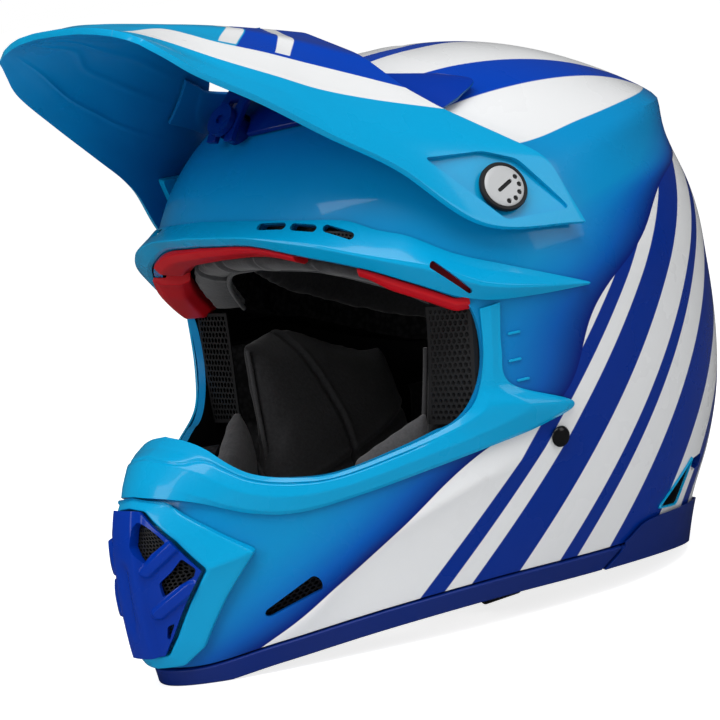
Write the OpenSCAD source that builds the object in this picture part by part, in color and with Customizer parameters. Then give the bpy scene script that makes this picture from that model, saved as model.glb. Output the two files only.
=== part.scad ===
// Motocross helmet with an adjustable peak visor.
// Frame: +X is the wearer's left, the face looks along -Y, +Z is up, and the lower trim stands on z = 0.
// A place on the shell is given by t, the angle about the crown axis in degrees (0 at the face, 90 at the
// wearer's left), by its height z, and by its distance off the painted surface.

/* [Shell] */
// Height of the crown above the resting plane
shell_h = 269; // [262:1:280]
// Height of the widest belt
belt_z = 150; // [146:1:154]
// Half width of the shell at the belt
belt_half_w = 124; // [118:1:130]
// Half width of the shell at the jaw
jaw_half_w = 111; // [107:1:115]
// Half width of the shell at its lower rim
rim_half_w = 95; // [91:1:99]
// Reach of the forehead ahead of the crown axis
brow_reach = 146; // [140:1:152]
// Reach of the jaw bar ahead of the crown axis, at its sides
jaw_reach = 153; // [148:1:158]
// How far the chin stands ahead of the jaw bar
chin_jut = 51; // [46:1:56]
// Half width of the pointed chin
chin_half_w = 50; // [46:1:54]
// Reach of the back of the head behind the crown axis
back_reach = 145.5; // [140:0.5:152]
// Reach of the lower rim behind the crown axis
nape_reach = 108; // [103:1:113]
// Thickness of the shell
shell_t = 4; // [3:0.5:5]
// Height of the shell's rim above the resting plane, front and back
rim_z = 9; // [7:1:11]
// How much higher the rim is at the ears
rim_arch = 14; // [10:1:16]
// How far the rear shoulders stand proud
shoulder_h = 9; // [6:1:11]

/* [Eyeport] */
// Height of the eyeport's upper edge at the middle
eye_top = 195; // [191:1:198]
// Height of the eyeport's lowest dip
eye_dip = 87; // [84:1:90]
// Height of the lip at the middle
lip_z = 112; // [108:1:116]
// Angle of the eyeport's outer corner
eye_angle = 61; // [58:0.5:63]
// Height of the eyeport's outer corner
eye_corner_z = 130; // [126:1:134]

/* [Visor] */
// Drop of the visor's pivots below the crown
pivot_drop = 67.5; // [64:0.5:71]
// Distance of the pivots ahead of the crown axis
pivot_reach = 49; // [46:0.5:52]
// Length of the visor ahead of its pivots
visor_len = 153; // [140:1:165]
// Rise of the visor above its pivots
visor_rise = 105; // [98:1:110]
// Thickness of the visor
visor_t = 3; // [2.5:0.5:3.5]
// How far the floor of the visor's arms stands off the shell at the pivots
arm_gap = 5; // [4.5:0.5:6]
// Radius of the visor screw heads
screw_head_r = 12; // [10:0.5:13]
// Thickness of the visor screw heads
screw_head_t = 3.5; // [3:0.5:4.5]
// Radius of the visor screw shanks
screw_r = 4; // [3:0.5:4.5]
// Angle of the visor's tongue above the level, seen from the pivot
tongue_angle = 37; // [34:1:40]

/* [Vents and trim] */
// Height of the lower edge trim
trim_h = 9; // [7:1:11]
// Height of the rear trim above its lower edge
rear_trim_h = 20; // [16:1:24]
// How far the brow flange stands off the shell
brow_proud = 9.5; // [7:0.5:11]
// How far the chin vent frame stands off the shell
frame_proud = 6; // [4.5:0.5:7]
// Half height of the chin vent opening
chin_vent_h = 26; // [24:1:28]
// Height of the chin vent's middle
chin_vent_z = 51; // [49:1:53]
// Length of a jaw vent slot
jaw_slot_len = 30; // [26:1:33]
// Height of a jaw vent slot
jaw_slot_w = 6; // [4:0.5:8]

/* [Liner] */
// Thickness of the impact liner
liner_t = 26; // [22:1:30]
// Thickness of the comfort pads at the crown
pad_t = 10; // [7:1:12]
// Greatest thickness of a cheek pad
cheek_t = 28; // [22:1:32]
// Clearance between the shell and the layers inside it
layer_gap = 1; // [0.9:0.1:1.3]
// Clearance between trim pieces and the shell
trim_gap = 0.7; // [0.6:0.1:0.9]

/* [Strap] */
// Width of the chin strap
strap_w = 22; // [20:1:24]
// Thickness of the chin strap
strap_t = 2; // [1.5:0.5:2.5]
// Height of the strap's rivets
rivet_z = 83; // [80:1:86]
// Angle of the strap's rivets
rivet_angle = 75.5; // [73:0.5:78]
// Radius of the rivet heads
rivet_head_r = 5; // [4:0.5:6]
// Radius of the rod of a strap ring
ring_rod_r = 1.75; // [1.5:0.05:2]
// Distance of the strap's rings inside the shell's middle plane
ring_x = 56; // [53:1:60]

/* [Hidden] */
$fn = 48;

// Crown fullness, drift of the crown towards the face, height of the grille off the shell and of its
// ridge off the grille, and distance of the crown axis from the origin
crown_power = 2.2;
crown_drift = 9;
shoulder_lift = 0.7;
crease_h = 3;
crease_w = 10;
probe = 0.3;
grille_top = 8.5;
grille_ridge = 3;
axis_y = (jaw_reach + chin_jut + grille_top + grille_ridge - back_reach) / 2;

// Outline tables of the shell, each row a height and a distance from the crown axis
half_w_line = [[-20, rim_half_w - 6], [0, rim_half_w], [55, jaw_half_w],
    [100, (jaw_half_w + 2 * belt_half_w) / 3], [belt_z, belt_half_w], [belt_z + 30, belt_half_w]];
front_line = [[-20, jaw_reach], [50, jaw_reach], [100, jaw_reach - 2], [belt_z, brow_reach],
    [belt_z + 30, brow_reach]];
jut_line = [[-20, chin_jut - 8], [0, chin_jut - 5], [25, chin_jut - 1], [55, chin_jut], [80, chin_jut - 3],
    [100, chin_jut - 13], [115, chin_jut * 0.47], [130, chin_jut * 0.2], [belt_z, 0], [belt_z + 30, 0]];
back_line = [[-20, nape_reach - 5], [0, nape_reach], [25, nape_reach + 8], [50, back_reach - 13.5],
    [75, back_reach - 3.5], [100, back_reach], [125, back_reach], [belt_z, back_reach - 2],
    [belt_z + 30, back_reach - 3]];
rim_line = [[0, rim_z], [12, rim_z], [25, rim_z + rim_arch * 0.36], [45, rim_z + rim_arch * 0.8],
    [65, rim_z + rim_arch], [85, rim_z + rim_arch * 0.93], [105, rim_z + rim_arch * 0.78],
    [130, rim_z + rim_arch * 0.43], [155, rim_z], [180, rim_z]];
crease_line = [[15, 6], [21, 12], [30, 24], [38, 46], [44, 55], [56, 68], [75, 82], [90, 90]];
shoulder_line = [[80, 208], [100, 213], [125, 217], [160, 218]];

// Smooth curve through a table of [x, y] rows
function seg(k, x, i = 0) = (i >= len(k) - 2 || x < k[i + 1][0]) ? i : seg(k, x, i + 1);
function slope(k, i) = let (a = max(i - 1, 0), b = min(i + 1, len(k) - 1))
    (k[b][1] - k[a][1]) / (k[b][0] - k[a][0]);
function curve(k, x) = let (q = min(max(x, k[0][0]), k[len(k) - 1][0]), i = seg(k, q),
    h = k[i + 1][0] - k[i][0], s = (q - k[i][0]) / h)
    (2 * s ^ 3 - 3 * s ^ 2 + 1) * k[i][1] + (s ^ 3 - 2 * s ^ 2 + s) * h * slope(k, i)
    + (3 * s ^ 2 - 2 * s ^ 3) * k[i + 1][1] + (s ^ 3 - s ^ 2) * h * slope(k, i + 1);
function ramp(x, a, b) = let (s = min(max((x - a) / (b - a), 0), 1)) s * s * (3 - 2 * s);
function unit(v) = v / norm(v);

// Raised shoulders at the back and the crease along the jaw, in millimetres outwards
function shoulder(a, z) = let (q = z - curve(shoulder_line, a))
    shoulder_h * ramp(a, 80, 130) * ramp(a, 158, 148) * exp(-(q / (q > 0 ? 26 : 10)) ^ 2);
function crease(a, z) = crease_h * ramp(a, 17, 30) * ramp(a, 86, 56)
    * exp(-abs(z - curve(crease_line, a)) / crease_w);

// Point of the painted surface at angle t and height z; bump 0 leaves out the shoulders and the crease
function shell_pt(t, z, bump = 1) = let (up = min(max((z - belt_z) / (shell_h - belt_z), 0), 1),
    k = (1 - up ^ crown_power) ^ (1 / crown_power), zz = min(z, belt_z), a = abs(t), c = cos(t),
    x = curve(half_w_line, zz) * k * sin(t),
    jut = c > 0 ? curve(jut_line, zz) * exp(-(x / chin_half_w) ^ 2) * ramp(c, 0, 0.35) : 0,
    reach = (c > 0 ? curve(front_line, zz) : curve(back_line, zz)) * k * c + jut,
    b = bump * (shoulder(a, z) + crease(a, z)))
    [x + b * sin(t), axis_y - reach - crown_drift * up ^ 2 - b * c,
        z + shoulder_lift * bump * shoulder(a, z)];
function shell_n(t, z, bump = 1) = z > shell_h - 2 * probe ? [0, 0, 1]
    : unit(cross(shell_pt(t + probe, z, bump) - shell_pt(t - probe, z, bump),
        shell_pt(t, z + probe, bump) - shell_pt(t, z - probe, bump)));
function on_shell(t, z, off, bump = 1) = shell_pt(t, z, bump) + off * shell_n(t, z, bump);
function crown_z(f) = belt_z + (shell_h - belt_z) * sin(90 * f) ^ (2 / crown_power);

// Edges of the shell at angle t: the lower rim, and the eyeport below and above
dip_line = [[0, lip_z], [6, lip_z - 2], [12, lip_z - 7], [20, eye_dip + 6], [27, eye_dip + 1], [34, eye_dip],
    [45, eye_dip + 6], [52, eye_dip + 11]];
top_line = [[0, eye_top], [15, eye_top - 1.5], [25, eye_top - 7], [40, eye_top - 18], [50, eye_top - 29],
    [57, eye_top - 38]];
low_bend = 52;
high_bend = 57;
function rim_at(t) = curve(rim_line, abs(t));
function bend(a, start) = sqrt(max(0, 1 - ((a - start) / (eye_angle - start)) ^ 2));
function eye_low(t) = let (a = abs(t), z0 = dip_line[len(dip_line) - 1][1])
    a >= eye_angle ? eye_corner_z : a > low_bend ? eye_corner_z - (eye_corner_z - z0) * bend(a, low_bend)
    : curve(dip_line, a);
function eye_high(t) = let (a = abs(t), z0 = top_line[len(top_line) - 1][1])
    a >= eye_angle ? eye_corner_z : a > high_bend ? eye_corner_z + (z0 - eye_corner_z) * bend(a, high_bend)
    : curve(top_line, a);

// Columns of the shell's mesh, from the middle of the face round to the back
bend_steps = 5;
face_cols = [for (i = [0 : 12]) i * low_bend / 12];
corner_cols = [for (i = [1 : bend_steps]) low_bend + (eye_angle - low_bend) * sin(90 * i / bend_steps)];
back_cols = [for (i = [1 : 13]) eye_angle + (180 - eye_angle) * i / 13];
half_cols = concat(face_cols, corner_cols, back_cols);
cols = concat([for (i = [len(half_cols) - 2 : -1 : 1]) -half_cols[i]], half_cols);
low_rows = 5;
high_rows = 9;
top_share = 0.95;
function mix(a, b, f) = a + (b - a) * f;
crown_run = 187;
function crown_share(z) = let (up = (max(z, belt_z) - belt_z) / (shell_h - belt_z))
    asin(min(1, up ^ (crown_power / 2))) / 90;
function upward(z0, f) = let (f0 = z0 >= belt_z ? crown_share(z0) : (z0 - belt_z) / crown_run,
    g = mix(f0, top_share, f)) g < 0 ? belt_z + crown_run * g : crown_z(g);

// Solid between two matching grids of points. Seen from outside, rows run upwards and columns to the right.
// wrap joins the last column to the first, and a pole [outer, inner] closes the top row to one point.
module slab(top, bottom, wrap = false, pole = undef) {
    r = len(top);
    c = len(top[0]);
    n = r * c;
    capped = !is_undef(pole);
    points = concat([for (row = top) each row], [for (row = bottom) each row], capped ? pole : []);
    last = wrap ? c - 1 : c - 2;
    function at(i, j) = i * c + j % c;
    function quad(a, b, d, e) = [[a, b, d], [a, d, e]];
    skins = [for (i = [0 : r - 2], j = [0 : last]) each concat(
        quad(at(i, j), at(i + 1, j), at(i + 1, j + 1), at(i, j + 1)),
        quad(n + at(i, j), n + at(i, j + 1), n + at(i + 1, j + 1), n + at(i + 1, j)))];
    low = [for (j = [0 : last]) each quad(at(0, j), at(0, j + 1), n + at(0, j + 1), n + at(0, j))];
    high = capped
        ? [for (j = [0 : last]) each [[at(r - 1, j), 2 * n, at(r - 1, j + 1)],
            [n + at(r - 1, j), n + at(r - 1, j + 1), 2 * n + 1]]]
        : [for (j = [0 : last])
            each quad(at(r - 1, j + 1), at(r - 1, j), n + at(r - 1, j), n + at(r - 1, j + 1))];
    sides = wrap ? [] : [for (i = [0 : r - 2]) each concat(
        quad(at(i + 1, 0), at(i, 0), n + at(i, 0), n + at(i + 1, 0)),
        quad(at(i, c - 1), at(i + 1, c - 1), n + at(i + 1, c - 1), n + at(i, c - 1)))];
    polyhedron(points, concat(skins, low, high, sides), convexity = 8);
}

// Patch of a layer between two distances off the shell; low and high are heights for each angle of ts
module patch(ts, low, high, rows, outer, inner, wrap = false) {
    function skin(off) = [for (i = [0 : rows]) [for (j = [0 : len(ts) - 1])
        on_shell(ts[j], mix(low[j], high[j], i / rows), off)]];
    slab(skin(outer), skin(inner), wrap);
}

// Places children with their Z along n and their X along the level
module facing(p, n) {
    level = unit(cross([0, 0, 1], n));
    rise = cross(n, level);
    multmatrix([[level[0], rise[0], n[0], p[0]], [level[1], rise[1], n[1], p[1]],
        [level[2], rise[2], n[2], p[2]], [0, 0, 0, 1]]) children();
}

// Places children with their Z along the shell's normal and their X along the level
module seat(t, z, off = 0) {
    facing(on_shell(t, z, off), shell_n(t, z)) children();
}

module both_sides() {
    children();
    mirror([1, 0, 0]) children();
}
function spread(a, b, n) = [for (i = [0 : n]) mix(a, b, i / n)];

// Hard shell with its eyeport, vent openings and screw holes
module shell_body() {
    c = len(cols);
    open = [for (t = cols) abs(t) < eye_angle - 0.001];
    function skin(off) = concat(
        [for (i = [0 : low_rows], t = cols) on_shell(t, mix(rim_at(t), eye_low(t), i / low_rows), off)],
        [for (i = [0 : high_rows], t = cols) on_shell(t, upward(eye_high(t), i / high_rows), off)],
        [on_shell(0, shell_h, off) + [0, 0, 0]]);
    m = (low_rows + 1) * c;
    n = m + (high_rows + 1) * c + 1;
    function lo(i, j) = i * c + j % c;
    function hi(i, j) = (i == 0 && !open[j % c]) ? lo(low_rows, j) : m + i * c + j % c;
    function quad(a, b, d, e) = [[a, b, d], [a, d, e]];
    function twin(a, b, d, e) = concat(quad(a, b, d, e), quad(n + a, n + e, n + d, n + b));
    function edge(a, b) = quad(a, b, n + b, n + a);
    lower = [for (i = [0 : low_rows - 1], j = [0 : c - 1])
        each twin(lo(i, j), lo(i + 1, j), lo(i + 1, j + 1), lo(i, j + 1))];
    upper = [for (i = [0 : high_rows - 1], j = [0 : c - 1])
        each twin(hi(i, j), hi(i + 1, j), hi(i + 1, j + 1), hi(i, j + 1))];
    crown = [for (j = [0 : c - 1]) each [[hi(high_rows, j), n - 1, hi(high_rows, j + 1)],
        [n + hi(high_rows, j), n + hi(high_rows, j + 1), 2 * n - 1]]];
    rim = [for (j = [0 : c - 1]) each edge(lo(0, j), lo(0, j + 1))];
    eye = [for (j = [0 : c - 1]) if (open[j] || open[(j + 1) % c])
        each concat(edge(lo(low_rows, j + 1), lo(low_rows, j)), edge(hi(0, j), hi(0, j + 1)))];
    polyhedron(concat(skin(0), skin(-shell_t)), concat(lower, upper, crown, rim, eye), convexity = 10);
}

// Chin vent outline: half width and height from the vent's middle, from the bottom up
vent_half = [[0, -1], [0.28, -0.98], [0.9, 0.1], [0.26, 0.98], [0, 1]];
module chin_vent_cut() {
    right = [for (p = vent_half) [p[0] * chin_vent_h, p[1] * chin_vent_h]];
    translate([0, axis_y - jaw_reach, chin_vent_z]) rotate([90, 0, 0]) linear_extrude(chin_jut + 20)
        polygon(concat(right, [for (i = [len(right) - 2 : -1 : 1]) [-right[i][0], right[i][1]]]));
}
module slot(length, width, depth) {
    linear_extrude(depth, center = true) {
        square([length - width, width], center = true);
        for (s = [-1, 1]) translate([s * (length - width) / 2, 0]) circle(d = width);
    }
}
jaw_slot = [27, 33, 22];
module jaw_slot_at(grow, depth, off) {
    seat(jaw_slot[0], jaw_slot[1], off) rotate([0, 0, jaw_slot[2]])
        slot(jaw_slot_len + grow, jaw_slot_w + grow, depth);
}
brow_slots = [[21.6, 200.2, 14.5, -5], [29, 197.9, 13, -13], [36.4, 193.8, 15.5, -27]];
brow_slot_h = 4.2;
module brow_slot_cuts() {
    for (s = brow_slots) seat(s[0], s[1]) rotate([0, 0, s[3]]) cube([s[2], brow_slot_h, 30], center = true);
}
rear_vent = [122, 46];
rear_vent_size = [16, 7];
module rear_vent_cut() {
    seat(rear_vent[0], rear_vent[1]) cube([rear_vent_size[0], rear_vent_size[1], 24], center = true);
}

// Visor pivots, and the tongue's place on a circle about the pivot axis
pivot_y = axis_y - pivot_reach;
pivot_z = shell_h - pivot_drop;
pivot_up = (pivot_z - belt_z) / (shell_h - belt_z);
pivot_share = (1 - pivot_up ^ crown_power) ^ (1 / crown_power);
pivot_angle = acos((pivot_reach - crown_drift * pivot_up ^ 2) / (brow_reach * pivot_share));
pivot_x = shell_pt(pivot_angle, pivot_z)[0];
front_ray = [for (f = [0 : 0.02 : 1]) let (p = shell_pt(0, crown_z(f)) - [0, pivot_y, pivot_z])
    [atan2(p[2], -p[1]), norm(p)]];
tongue_gap = 8.7;
tongue_r = lookup(tongue_angle, front_ray) + tongue_gap;
tongue_t = 3;
tongue_half_w = 13;
fit_gap = 0.06;
centre_screw_r = 3;
centre_nut_r = 7;
module on_pivot() {
    translate([0, pivot_y, pivot_z]) rotate([0, 90, 0]) children();
}
// Z runs from the pivot axis out through the middle of the visor's tongue
module on_tongue() {
    translate([0, pivot_y, pivot_z]) rotate([90 - tongue_angle, 0, 0]) children();
}

module outer_shell() color("deepskyblue") difference() {
    shell_body();
    chin_vent_cut();
    both_sides() {
        jaw_slot_at(0, 24, 0);
        brow_slot_cuts();
        rear_vent_cut();
        on_pivot() translate([0, 0, pivot_x - 30]) cylinder(r = bush_r + fit_gap, h = 60);
        seat(rivet_angle, rivet_z) cylinder(r = rivet_r + fit_gap, h = 20, center = true);
    }
    on_tongue() translate([0, 0, tongue_r - 30]) cylinder(r = centre_nut_r + fit_gap, h = 40);
}

// Crown of expanded foam, from just above the eyeport round to the nape
liner_low = [[0, eye_top + 8], [25, eye_top + 1], [45, eye_top - 14], [60, eye_top - 30], [72, belt_z - 6],
    [85, belt_z - 14], [120, 108], [180, 96]];
pad_low = [[0, eye_top + 6], [45, eye_top - 8], [65, eye_top - 28], [80, belt_z - 2], [120, 118],
    [180, 108]];
liner_outer = -shell_t - layer_gap;
liner_inner = liner_outer - liner_t;
nut_pocket = 23;
pad_outer = liner_inner - layer_gap;
pad_inner = pad_outer - pad_t;
module dome(low, outer, inner, columns, rows) {
    ts = [for (i = [0 : columns - 1]) -180 + 360 * (i + 0.5) / columns];
    function skin(off) = [for (i = [0 : rows]) [for (t = ts)
        on_shell(t, upward(curve(low, abs(t)), i / rows), off, 0)]];
    slab(skin(outer), skin(inner), true, [on_shell(0, shell_h, outer), on_shell(0, shell_h, inner)]);
}
module impact_liner() color("dimgray") difference() {
    dome(liner_low, liner_outer, liner_inner, 36, 9);
    both_sides() on_pivot() translate([0, 0, pivot_x - nut_pocket])
        cylinder(r = bush_r + nut_wall + 2, h = 40);
    on_tongue() translate([0, 0, tongue_r - 37]) cylinder(r = centre_nut_r + 2, h = 40);
}
module crown_pad() color("black") dome(pad_low, pad_outer, pad_inner, 36, 9);

// Foam block behind the chin vent
mesh_gap = 1.6;
chin_mesh_off = -shell_t - mesh_gap;
chin_mesh_t = 1.2;
chin_liner_outer = chin_mesh_off - chin_mesh_t - mesh_gap;
chin_liner_t = 12;
module chin_liner() {
    ts = spread(-46, 46, 32);
    color("dimgray") patch(ts, [for (t = ts) rim_at(t) + 8], [for (t = ts) min(eye_low(t) - 4, 92)], 5,
        chin_liner_outer, chin_liner_outer - chin_liner_t);
}

// Front of a place given by its distance from the middle plane and its height
function front_pt(x, z, off) = on_shell(asin(x / curve(half_w_line, min(z, belt_z))), z, off);

module chin_vent_mesh() {
    lap = 3;
    zs = spread(chin_vent_z - chin_vent_h - lap, chin_vent_z + chin_vent_h + lap, 8);
    across = spread(-1, 1, 12);
    wide = [for (p = vent_half) [p[1] * (chin_vent_h + lap), p[0] * chin_vent_h + 2 * lap]];
    function skin(off) = [for (z = zs) [for (a = across)
        front_pt(a * lookup(z - chin_vent_z, wide), z, off)]];
    color("black") slab(skin(chin_mesh_off), skin(chin_mesh_off - chin_mesh_t));
}

// Padded band above the eyes, below the foam's front edge
brow_pad_edge = [[0, eye_top - 4], [25, eye_top - 10], [45, eye_top - 27], [56, eye_top - 42]];
brow_pad_h = 8;
brow_pad_outer = liner_outer - 13;
brow_pad_depth = 20;
module brow_pad() {
    ts = spread(-56, 56, 24);
    function skin(off, puff) = [for (i = [0 : 4]) [for (t = ts) let (f = i / 4,
        z0 = curve(brow_pad_edge, abs(t)) - 2) on_shell(t, z0 + brow_pad_h * f, off + puff * sin(180 * f))]];
    color("black") slab(skin(brow_pad_outer, 1), skin(brow_pad_outer - brow_pad_depth, -2.5));
}

// Roll of padding round the nape
neck_outer = chin_mesh_off - chin_mesh_t - trim_gap;
module neck_roll() {
    ts = spread(112, 248, 24);
    function skin(off, puff) = [for (i = [0 : 5]) [for (t = ts) let (a = t > 180 ? t - 360 : t, f = i / 5)
        on_shell(a, mix(rim_at(a) + 3, 90, f), off - puff * sin(180 * f) ^ 0.7)]];
    color("black") slab(skin(neck_outer, 0), skin(neck_outer - 8, 14));
}

// Foam blocks and pads beside the cheeks
cheek_from = 54;
cheek_to = 106;
cheek_low = 24;
cheek_top = 136;
core_outer = -shell_t - strap_t - 6.6;
core_inner = liner_inner;
module cheek_core() {
    ts = spread(cheek_from + 9, cheek_to - 2, 10);
    color("dimgray") patch(ts, [for (t = ts) cheek_low + 4],
        [for (t = ts) cheek_top - 4 - 22 * ramp(t, 70, 104)], 6, core_outer, core_inner);
}
module cheek_core_left() cheek_core();
module cheek_core_right() mirror([1, 0, 0]) cheek_core();
module cheek_pad() {
    ts = spread(cheek_from - 2, cheek_to, 14);
    function height(t, f) = mix(cheek_low, cheek_top + 4 - 26 * ramp(t, 66, 104), f);
    function puff(t, f) = cheek_t * (sin(180 * (t - cheek_from + 2) / (cheek_to - cheek_from + 2)) ^ 0.5)
        * (sin(180 * min(max(f, 0.02), 0.98)) ^ 0.55) * mix(1.1, 0.75, f);
    function skin(side) = [for (i = [0 : 10]) [for (t = ts) on_shell(t, height(t, i / 10),
        core_inner - layer_gap - (side > 0 ? 0 : 5 + puff(t, i / 10)))]];
    color("black") slab(skin(1), skin(-1));
}
module cheek_pad_left() cheek_pad();
module cheek_pad_right() mirror([1, 0, 0]) cheek_pad();

// Honeycomb panel between the eyeport's rim and the cheek pad
eye_mesh_wide = 0.9;
module eye_mesh() {
    zs = spread(99, 149, 8);
    offs = spread(core_inner + 3, -shell_t - trim_gap - 0.5, 4);
    function skin(dt) = [for (z = zs) [for (o = offs)
        on_shell(mix(52.5, 60, (o - offs[0]) / (offs[4] - offs[0])) + dt, z, o)]];
    color("black") slab(skin(0), skin(eye_mesh_wide));
}
module eye_mesh_left() eye_mesh();
module eye_mesh_right() mirror([1, 0, 0]) eye_mesh();

// Coloured edge of the foam under the brow, in three pieces
edge_depth = 11;
module red_edge(a, b, n) {
    ts = spread(a, b, n);
    function skin(dz) = [for (o = [0, 1]) [for (t = ts)
        on_shell(t, eye_high(min(abs(t), high_bend)) + dz[o],
            -shell_t - 2 * trim_gap - edge_depth * (1 - o))]];
    color("red") slab(skin([-5, 1]), skin([1, 5]));
}
module red_liner_edge_centre() red_edge(-26, 26, 16);
module red_liner_edge_left() red_edge(39, 60, 8);
module red_liner_edge_right() mirror([1, 0, 0]) red_liner_edge_left();

// Brow band with its flange, slots and side winglets
band_to = 84;
band_top = [[0, eye_top + 11], [15, eye_top + 9.5], [28, eye_top + 7], [38, eye_top + 4], [44, eye_top - 2],
    [50, eye_top - 7], [58, eye_top - 18], [67, eye_top - 27], [band_to, eye_top - 43.5]];
band_crest = [[0, eye_top + 2.5], [15, eye_top + 1], [24, eye_top - 2], [32, eye_top - 6],
    [40, eye_top - 12], [48, eye_top - 18], [54, eye_top - 23], [62, eye_top - 33], [72, eye_top - 39],
    [band_to, eye_top - 44.2]];
band_base = [[0, eye_top], [15, eye_top - 1.5], [25, eye_top - 7], [40, eye_top - 18], [50, eye_top - 29],
    [57, eye_top - 37.5], [63, eye_top - 42], [72, eye_top - 44], [band_to, eye_top - 45]];
band_wall = 2.4;
function band_rows(t) = let (a = abs(t), top = curve(band_top, a), crest = curve(band_crest, a),
    base = curve(band_base, a), proud = brow_proud * mix(1, 0.3, ramp(a, 58, band_to)),
    mid = mix(5, 2.6, ramp(a, 46, band_to)))
    [[base, mix(3, 1.6, ramp(a, 50, band_to))], [mix(crest, base, 0.25), proud], [crest, proud],
     [mix(crest, top, 0.55), mid], [top, trim_gap + 0.9]];
module brow_band() color("deepskyblue") difference() {
    ts = spread(-band_to, band_to, 56);
    outer = [for (i = [0 : 4]) [for (t = ts) let (r = band_rows(t)[i]) on_shell(t, r[0], r[1])]];
    inner = [for (i = [0 : 4]) [for (t = ts) let (r = band_rows(t)[i])
        on_shell(t, r[0], max(trim_gap, r[1] - (i == 1 || i == 2 ? band_wall + 2 : band_wall)))]];
    slab(outer, inner);
    both_sides() brow_slot_cuts();
}
module brow_vent_mesh() {
    ts = spread(18, 41, 8);
    color("black") both_sides() patch(ts, [for (t = ts) curve(band_crest, t) + 3.4],
        [for (t = ts) curve(band_top, t) - 5.2], 2, trim_gap + 1.1, trim_gap);
}

// Lip guard round the lower eyeport, with a winglet at each side. Each row: edge [t, z], outline [t, z].
lip_rows = [
    [[eye_angle, eye_corner_z + 20], [65, eye_corner_z + 21]],
    [[eye_angle, eye_corner_z], [64.5, eye_corner_z]],
    [[60, 115], [66, 113]],
    [[58.5, 107], [78.5, 98]],
    [[56, 102], [72, 91]],
    [[52, eye_dip + 11], [61, eye_dip - 1]],
    [[45, eye_dip + 6], [50, eye_dip - 6]],
    [[34, eye_dip], [37.5, eye_dip - 12]],
    [[27, eye_dip + 1], [28, eye_dip - 15]],
    [[20, eye_dip + 6], [21, eye_dip - 12]],
    [[12, lip_z - 7], [13, eye_dip - 2]],
    [[6, lip_z - 2], [7, eye_dip + 1]],
    [[0, lip_z], [0, eye_dip + 2]]
];
lip_proud = [[0, 3], [2, 3], [3, 7], [5, 5], [8, 5], [12, 6]];
function lip_at(s, share) = let (e = [for (k = [0, 1], m = [0, 1])
    curve([for (i = [0 : len(lip_rows) - 1]) [i, lip_rows[i][k][m]]], s)])
    [mix(e[0], e[2], share), mix(e[1], e[3], share)];
module lip_guard() {
    stations = spread(0, 12, 26);
    loop = concat([for (i = [0 : 25]) [-1, stations[i]]], [for (i = [26 : -1 : 0]) [1, stations[i]]]);
    shares = [1, 0.55, 0.12, 0];
    offs = [1, 1.7, 1, 0.9];
    function skin(outside) = [for (i = [0 : 3]) [for (p = loop) let (q = lip_at(p[1], shares[i]),
        proud = i == 0 || i == 3 ? trim_gap + 1.1 : curve(lip_proud, p[1]) * offs[i] / 1.7)
        on_shell(p[0] * q[0], q[1], outside ? max(proud, trim_gap + 1.1) : trim_gap)]];
    color("deepskyblue") slab(skin(true), skin(false));
}

// Frame and grille of the chin vent: half outlines from the bottom up, from the vent's middle
frame_outer = [[0, -41], [13, -40], [21, -33], [31, -11], [41, 8], [28, 22], [15, 34], [0, 36]];
frame_inner = [[0, -34], [9, -33], [13.5, -25], [20, -10], [26, 3], [18, 17.5], [7, 30.5], [0, 31.5]];
function mirrored(half) = concat(half, [for (i = [len(half) - 2 : -1 : 1]) [-half[i][0], half[i][1]]]);
function refine(p) = [for (i = [0 : len(p) - 1]) each [p[i], (p[i] + p[(i + 1) % len(p)]) / 2]];
module chin_vent_frame() {
    out = refine(mirrored(frame_outer));
    in = refine(mirrored(frame_inner));
    shares = [0, 0.3, 0.9, 1];
    offs = [trim_gap + 1, frame_proud, frame_proud + 1.5, trim_gap + 1.5];
    function skin(outside) = [for (i = [0 : 3]) [for (j = [0 : len(out) - 1])
        let (p = mix(out[j], in[j], shares[i]))
            front_pt(p[0], chin_vent_z + p[1], outside ? offs[i] : trim_gap)]];
    color("deepskyblue") slab(skin(true), skin(false), true);
}
grille_windows = [
    [[4, 26.5], [8, 26], [14.5, 18], [6.5, 9], [2.8, 16.5]],
    [[19, 9.5], [22.8, 4.5], [22.3, 1], [12, -6.5], [11, -2], [16, 6.5]],
    [[12.5, -18.5], [13.6, -19.5], [12.2, -23.5], [9.6, -27], [9.8, -22]]
];
grille_t = 5;
module chin_grille() {
    zs = spread(-33, 30.5, 12);
    across = spread(-1, 1, 12);
    wide = [for (p = frame_inner) [p[1], max(p[0] - 0.9, 5)]];
    function skin(off) = [for (z = zs) [for (a = across) front_pt(a * lookup(z, wide), chin_vent_z + z,
        off + (off > 5 ? grille_ridge * (1 - abs(a)) ^ 2 : 0))]];
    color("mediumblue") difference() {
        slab(skin(grille_top), skin(grille_top - grille_t));
        both_sides() for (w = grille_windows)
            translate([0, axis_y - jaw_reach, chin_vent_z]) rotate([90, 0, 0])
                linear_extrude(chin_jut + 30) polygon(w);
    }
}

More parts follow.
